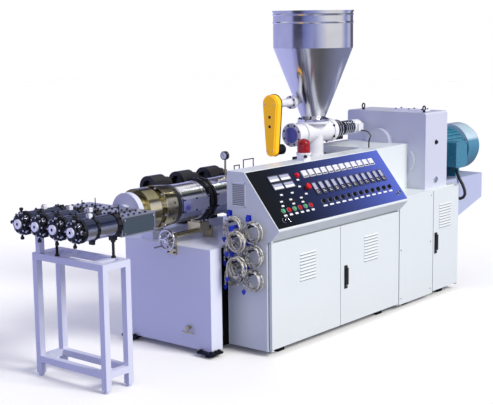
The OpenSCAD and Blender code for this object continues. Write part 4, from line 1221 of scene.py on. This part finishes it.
class EXTRUDER_OT_feeder_fittings(bpy.types.Operator):
    """Put bolts on the feeder, rings on its reducer, painted shade of holes in the guard and a knob on the
    beacon
    """
    bl_idname = "extruder.feeder_fittings"
    bl_label = "Feeder fittings"

    def execute(self, context):
        self.flanges()
        self.guard()
        self.reducer()
        self.beacon()
        return {"FINISHED"}

    def flanges(self):
        """Bolts on the feeder's level flanges and end flange, and screws round its sight glasses."""
        bolts = []
        for z in (1.268, 1.568):
            bolts += lengthways(at(1.490, 0.720, z), UP, 0.115, 8, pi / 8)
        bolts += lengthways(at(1.680, 0.720, 1.455), LEFT, 0.091, 6)
        spread("feeder_bolts", hexagon_bolt("model", sizes().screw, 0.009), bolts, "dark_steel")
        sight = lengthways(at(1.190, 0.720, 1.455), LEFT, 0.080, 8, pi / 8)
        sight += lengthways(at(1.271, 0.792, 1.714), LEFT, 0.044, 6)
        spread("sight_screws", hexagon_bolt("model", 0.006, 0.006), sight, "dark_steel")

    def guard(self):
        """Two black discs in the face of the belt guard, as painted shade of two holes, and four screws."""
        face, middle = 0.998, 0.792
        hole = turned("model", [(0.013, 0), (0.013, 0.001), (0.010, 0.0015), (0.009, 0.0005)], 20)
        spread("guard_holes", hole, [
            facing(at(face, middle, z), LEFT) for z in (1.612, 1.535)], "black_plastic")
        spots = [(-0.048, 1.714), (0.048, 1.714), (-0.024, 1.340), (0.024, 1.340)]
        spread("guard_screws", cap_screw("model", 0.006, 0.005), [
            facing(at(face, middle + side, z), LEFT) for side, z in spots], "polished_steel")

    def reducer(self):
        """Bright flanges with bolts along the feeder's reducer, and bright rings round its thick end."""
        axis = at(0, 0.720, 1.455)
        first, last = low("feeder_drive").x, high("feeder_drive").x
        tyre_in, tyre_step = 0.011, 0.036
        spots = [last - back for back in (0.014, 0.044, 0.074, 0.104, 0.134)]
        flange = turned("model", [
            (0.053, 0), (0.060, 0.001), (0.062, 0.003), (0.062, 0.011), (0.060, 0.013), (0.053, 0.014)], 40)
        spread("reducer_flanges", flange, [
            facing((x, axis.y, axis.z), RIGHT) for x in spots], "polished_steel")
        tyre = turned("model", [
            (0.070, 0), (0.079, 0.0010), (0.0795, 0.003), (0.0795, 0.013), (0.079, 0.015),
            (0.070, 0.016)], 48)
        spread("reducer_tyres", tyre, [
            facing((first + tyre_in + tyre_step * i, axis.y, axis.z), RIGHT)
            for i in range(3)], "polished_steel")
        bolts = lengthways((spots[1], axis.y, axis.z), LEFT, 0.0575, 8)
        spread("reducer_bolts", cap_screw("model", 0.004, 0.005), bolts, "dark_steel")

    def beacon(self):
        """A dark knob on the side of the beacon's foot."""
        middle, foot_radius = at(0.815, 0.3145, 1.354), 0.051
        way = Vector((-0.67, -0.74, 0)).normalized()
        knob = turned("model", [
            (0.008, 0), (0.008, 0.010), (0.013, 0.013), (0.013, 0.026), (0.009, 0.029)], 18)
        spread("beacon_knob", knob, [facing(middle + way * foot_radius, way)], "black_plastic")


class EXTRUDER_OT_stage(bpy.types.Operator):
    """Lay the floor and set the studio lights"""
    bl_idname = "extruder.stage"
    bl_label = "Stage"

    def execute(self, context):
        self.floor()
        self.sun("key", way=(0.10, -0.78, 0.62), power=2.5, softness=0.35, tint=(1.0, 0.985, 0.93))
        context.scene.world = self.sky().world
        context.scene.view_settings.view_transform = "Standard"
        return {"FINISHED"}

    def floor(self):
        """A floor that is white to the eye, throws little light back and is patched in mirrors."""
        floor_size, hall_wide = 60, 20
        finish = Finish("studio_paper")
        speck = finish.noise(4.0, 3.0)
        base = tuple(view().floor)
        finish.set(
            Base_Color=finish.mix(speck, shade(base, 0.99), shade(base, 1.01)), Roughness=0.9,
            Emission_Color=(1, 1, 1, 1), Emission_Strength=0.03)
        seen = finish.node("ShaderNodeLightPath", output="Is Camera Ray")
        mirrored = finish.node("ShaderNodeLightPath", output="Is Glossy Ray")
        aside = finish.toward(TO_LEFT) * (1 / hall_wide) + 0.5
        hall = finish.ramp(aside, [
            (0.0, (0.30, 0.34, 0.52)), (0.30, (0.24, 0.26, 0.36)), (0.44, (0.10, 0.10, 0.10)),
            (0.52, (0.16, 0.15, 0.14)), (0.56, (0.60, 0.62, 0.95)), (1.0, (0.66, 0.68, 0.98))])
        tone = finish.mix(mirrored, (0.30, 0.31, 0.40), hall)
        thrown = finish.node("ShaderNodeBsdfPrincipled", {}, {"Base Color": tone, "Roughness": 0.9})
        paper = Value(finish, finish.shader.outputs[0])
        mixed = finish.node("ShaderNodeMixShader", {}, {0: seen, 1: thrown, 2: paper})
        finish.feed(finish.nodes["Material Output"].inputs["Surface"], mixed)
        deselect()
        bpy.ops.mesh.primitive_plane_add(size=floor_size, location=(0, 0, 0))
        floor = named("studio_floor")
        floor.data.materials.append(finish.material)

    def sky(self):
        """White to the eye, and to polished metal a hall with lamps, dark gates and pale walls."""
        roof_foot = 0.42
        sky = Sky("studio")
        z = sky.axis("Z")
        to_left = sky.toward(TO_LEFT)
        round_about = sky.math("ARCTAN2", to_left, sky.toward(TO_EYE)) * (0.5 / pi) + 0.5
        walls = sky.ramp(round_about, [
            (0.00, (0.10, 0.10, 0.16)), (0.12, (0.12, 0.12, 0.20)), (0.15, (0.75, 0.78, 0.95)),
            (0.21, (0.30, 0.35, 0.75)), (0.26, (1.0, 1.0, 1.0)), (0.40, (1.0, 1.0, 1.0)),
            (0.46, (0.62, 0.66, 0.92)), (0.50, (0.36, 0.40, 0.74)), (0.585, (0.14, 0.17, 0.46)),
            (0.60, (0.02, 0.02, 0.04)), (0.67, (0.02, 0.02, 0.05)), (0.685, (0.48, 0.50, 0.88)),
            (1.00, (0.50, 0.52, 0.88))])
        roof = sky.ramp(z, [
            (0.00, (0.30, 0.31, 0.42)), (roof_foot, (0.30, 0.31, 0.42)), (0.45, (0.05, 0.05, 0.08)),
            (0.58, (0.05, 0.05, 0.08)), (0.62, (1.0, 1.0, 1.0)), (0.76, (1.0, 1.0, 1.0)),
            (0.80, (0.40, 0.42, 0.62)), (1.00, (0.46, 0.48, 0.68))])
        hall = sky.mix(z > roof_foot, walls, roof)
        seen = sky.node("ShaderNodeLightPath", output="Is Camera Ray")
        soft = sky.node("ShaderNodeLightPath", output="Is Diffuse Ray")
        hall = sky.mix(soft * (to_left > 0.2) * (z < 0.45), hall, (0.50, 0.50, 1.15))
        sky.set(Color=sky.mix(seen, hall, (1.0, 1.0, 1.0)), Strength=1.0)
        return sky

    def sun(self, name, way, power, softness, tint):
        """A lamp far off in one direction."""
        data = bpy.data.lights.new(name, "SUN")
        data.energy = power
        data.angle = softness
        data.color = tint
        lamp = bpy.data.objects.new(name, data)
        bpy.context.collection.objects.link(lamp)
        lamp.matrix_world = Vector(way).to_track_quat("Z", "Y").to_matrix().to_4x4()


class EXTRUDER_PT_parts(bpy.types.Panel):
    """Lists the pieces and their sizes and colours"""
    bl_label = "Extruder"
    bl_idname = "EXTRUDER_PT_parts"
    bl_space_type = "VIEW_3D"
    bl_region_type = "UI"
    bl_category = "Extruder"

    def draw(self, context):
        for operator in OPERATORS:
            self.layout.operator(operator.bl_idname)
        for group in (view(), sizes(), colours()):
            column = self.layout.column()
            for key in keys_of(group):
                column.prop(group, key)


GROUPS = {
    "extruder_view": ExtruderView,
    "extruder_sizes": ExtruderSizes,
    "extruder_colours": ExtruderColours,
}
OPERATORS = (
    EXTRUDER_OT_camera,
    EXTRUDER_OT_finishes,
    EXTRUDER_OT_leads,
    EXTRUDER_OT_panel_fittings,
    EXTRUDER_OT_die_fasteners,
    EXTRUDER_OT_barrel_fittings,
    EXTRUDER_OT_cabinet_fittings,
    EXTRUDER_OT_drive_fittings,
    EXTRUDER_OT_feeder_fittings,
    EXTRUDER_OT_stage,
)


def register():
    for group in GROUPS.values():
        bpy.utils.register_class(group)
    for name, group in GROUPS.items():
        setattr(bpy.types.Scene, name, PointerProperty(type=group))
    for operator in OPERATORS:
        bpy.utils.register_class(operator)
    bpy.utils.register_class(EXTRUDER_PT_parts)


def unregister():
    bpy.utils.unregister_class(EXTRUDER_PT_parts)
    for operator in reversed(OPERATORS):
        bpy.utils.unregister_class(operator)
    for name in GROUPS:
        delattr(bpy.types.Scene, name)
    for group in reversed(GROUPS.values()):
        bpy.utils.unregister_class(group)


def main():
    register()
    for operator in OPERATORS:
        group, name = operator.bl_idname.split(".")
        getattr(getattr(bpy.ops, group), name)()


if __name__ == "__main__":
    main()
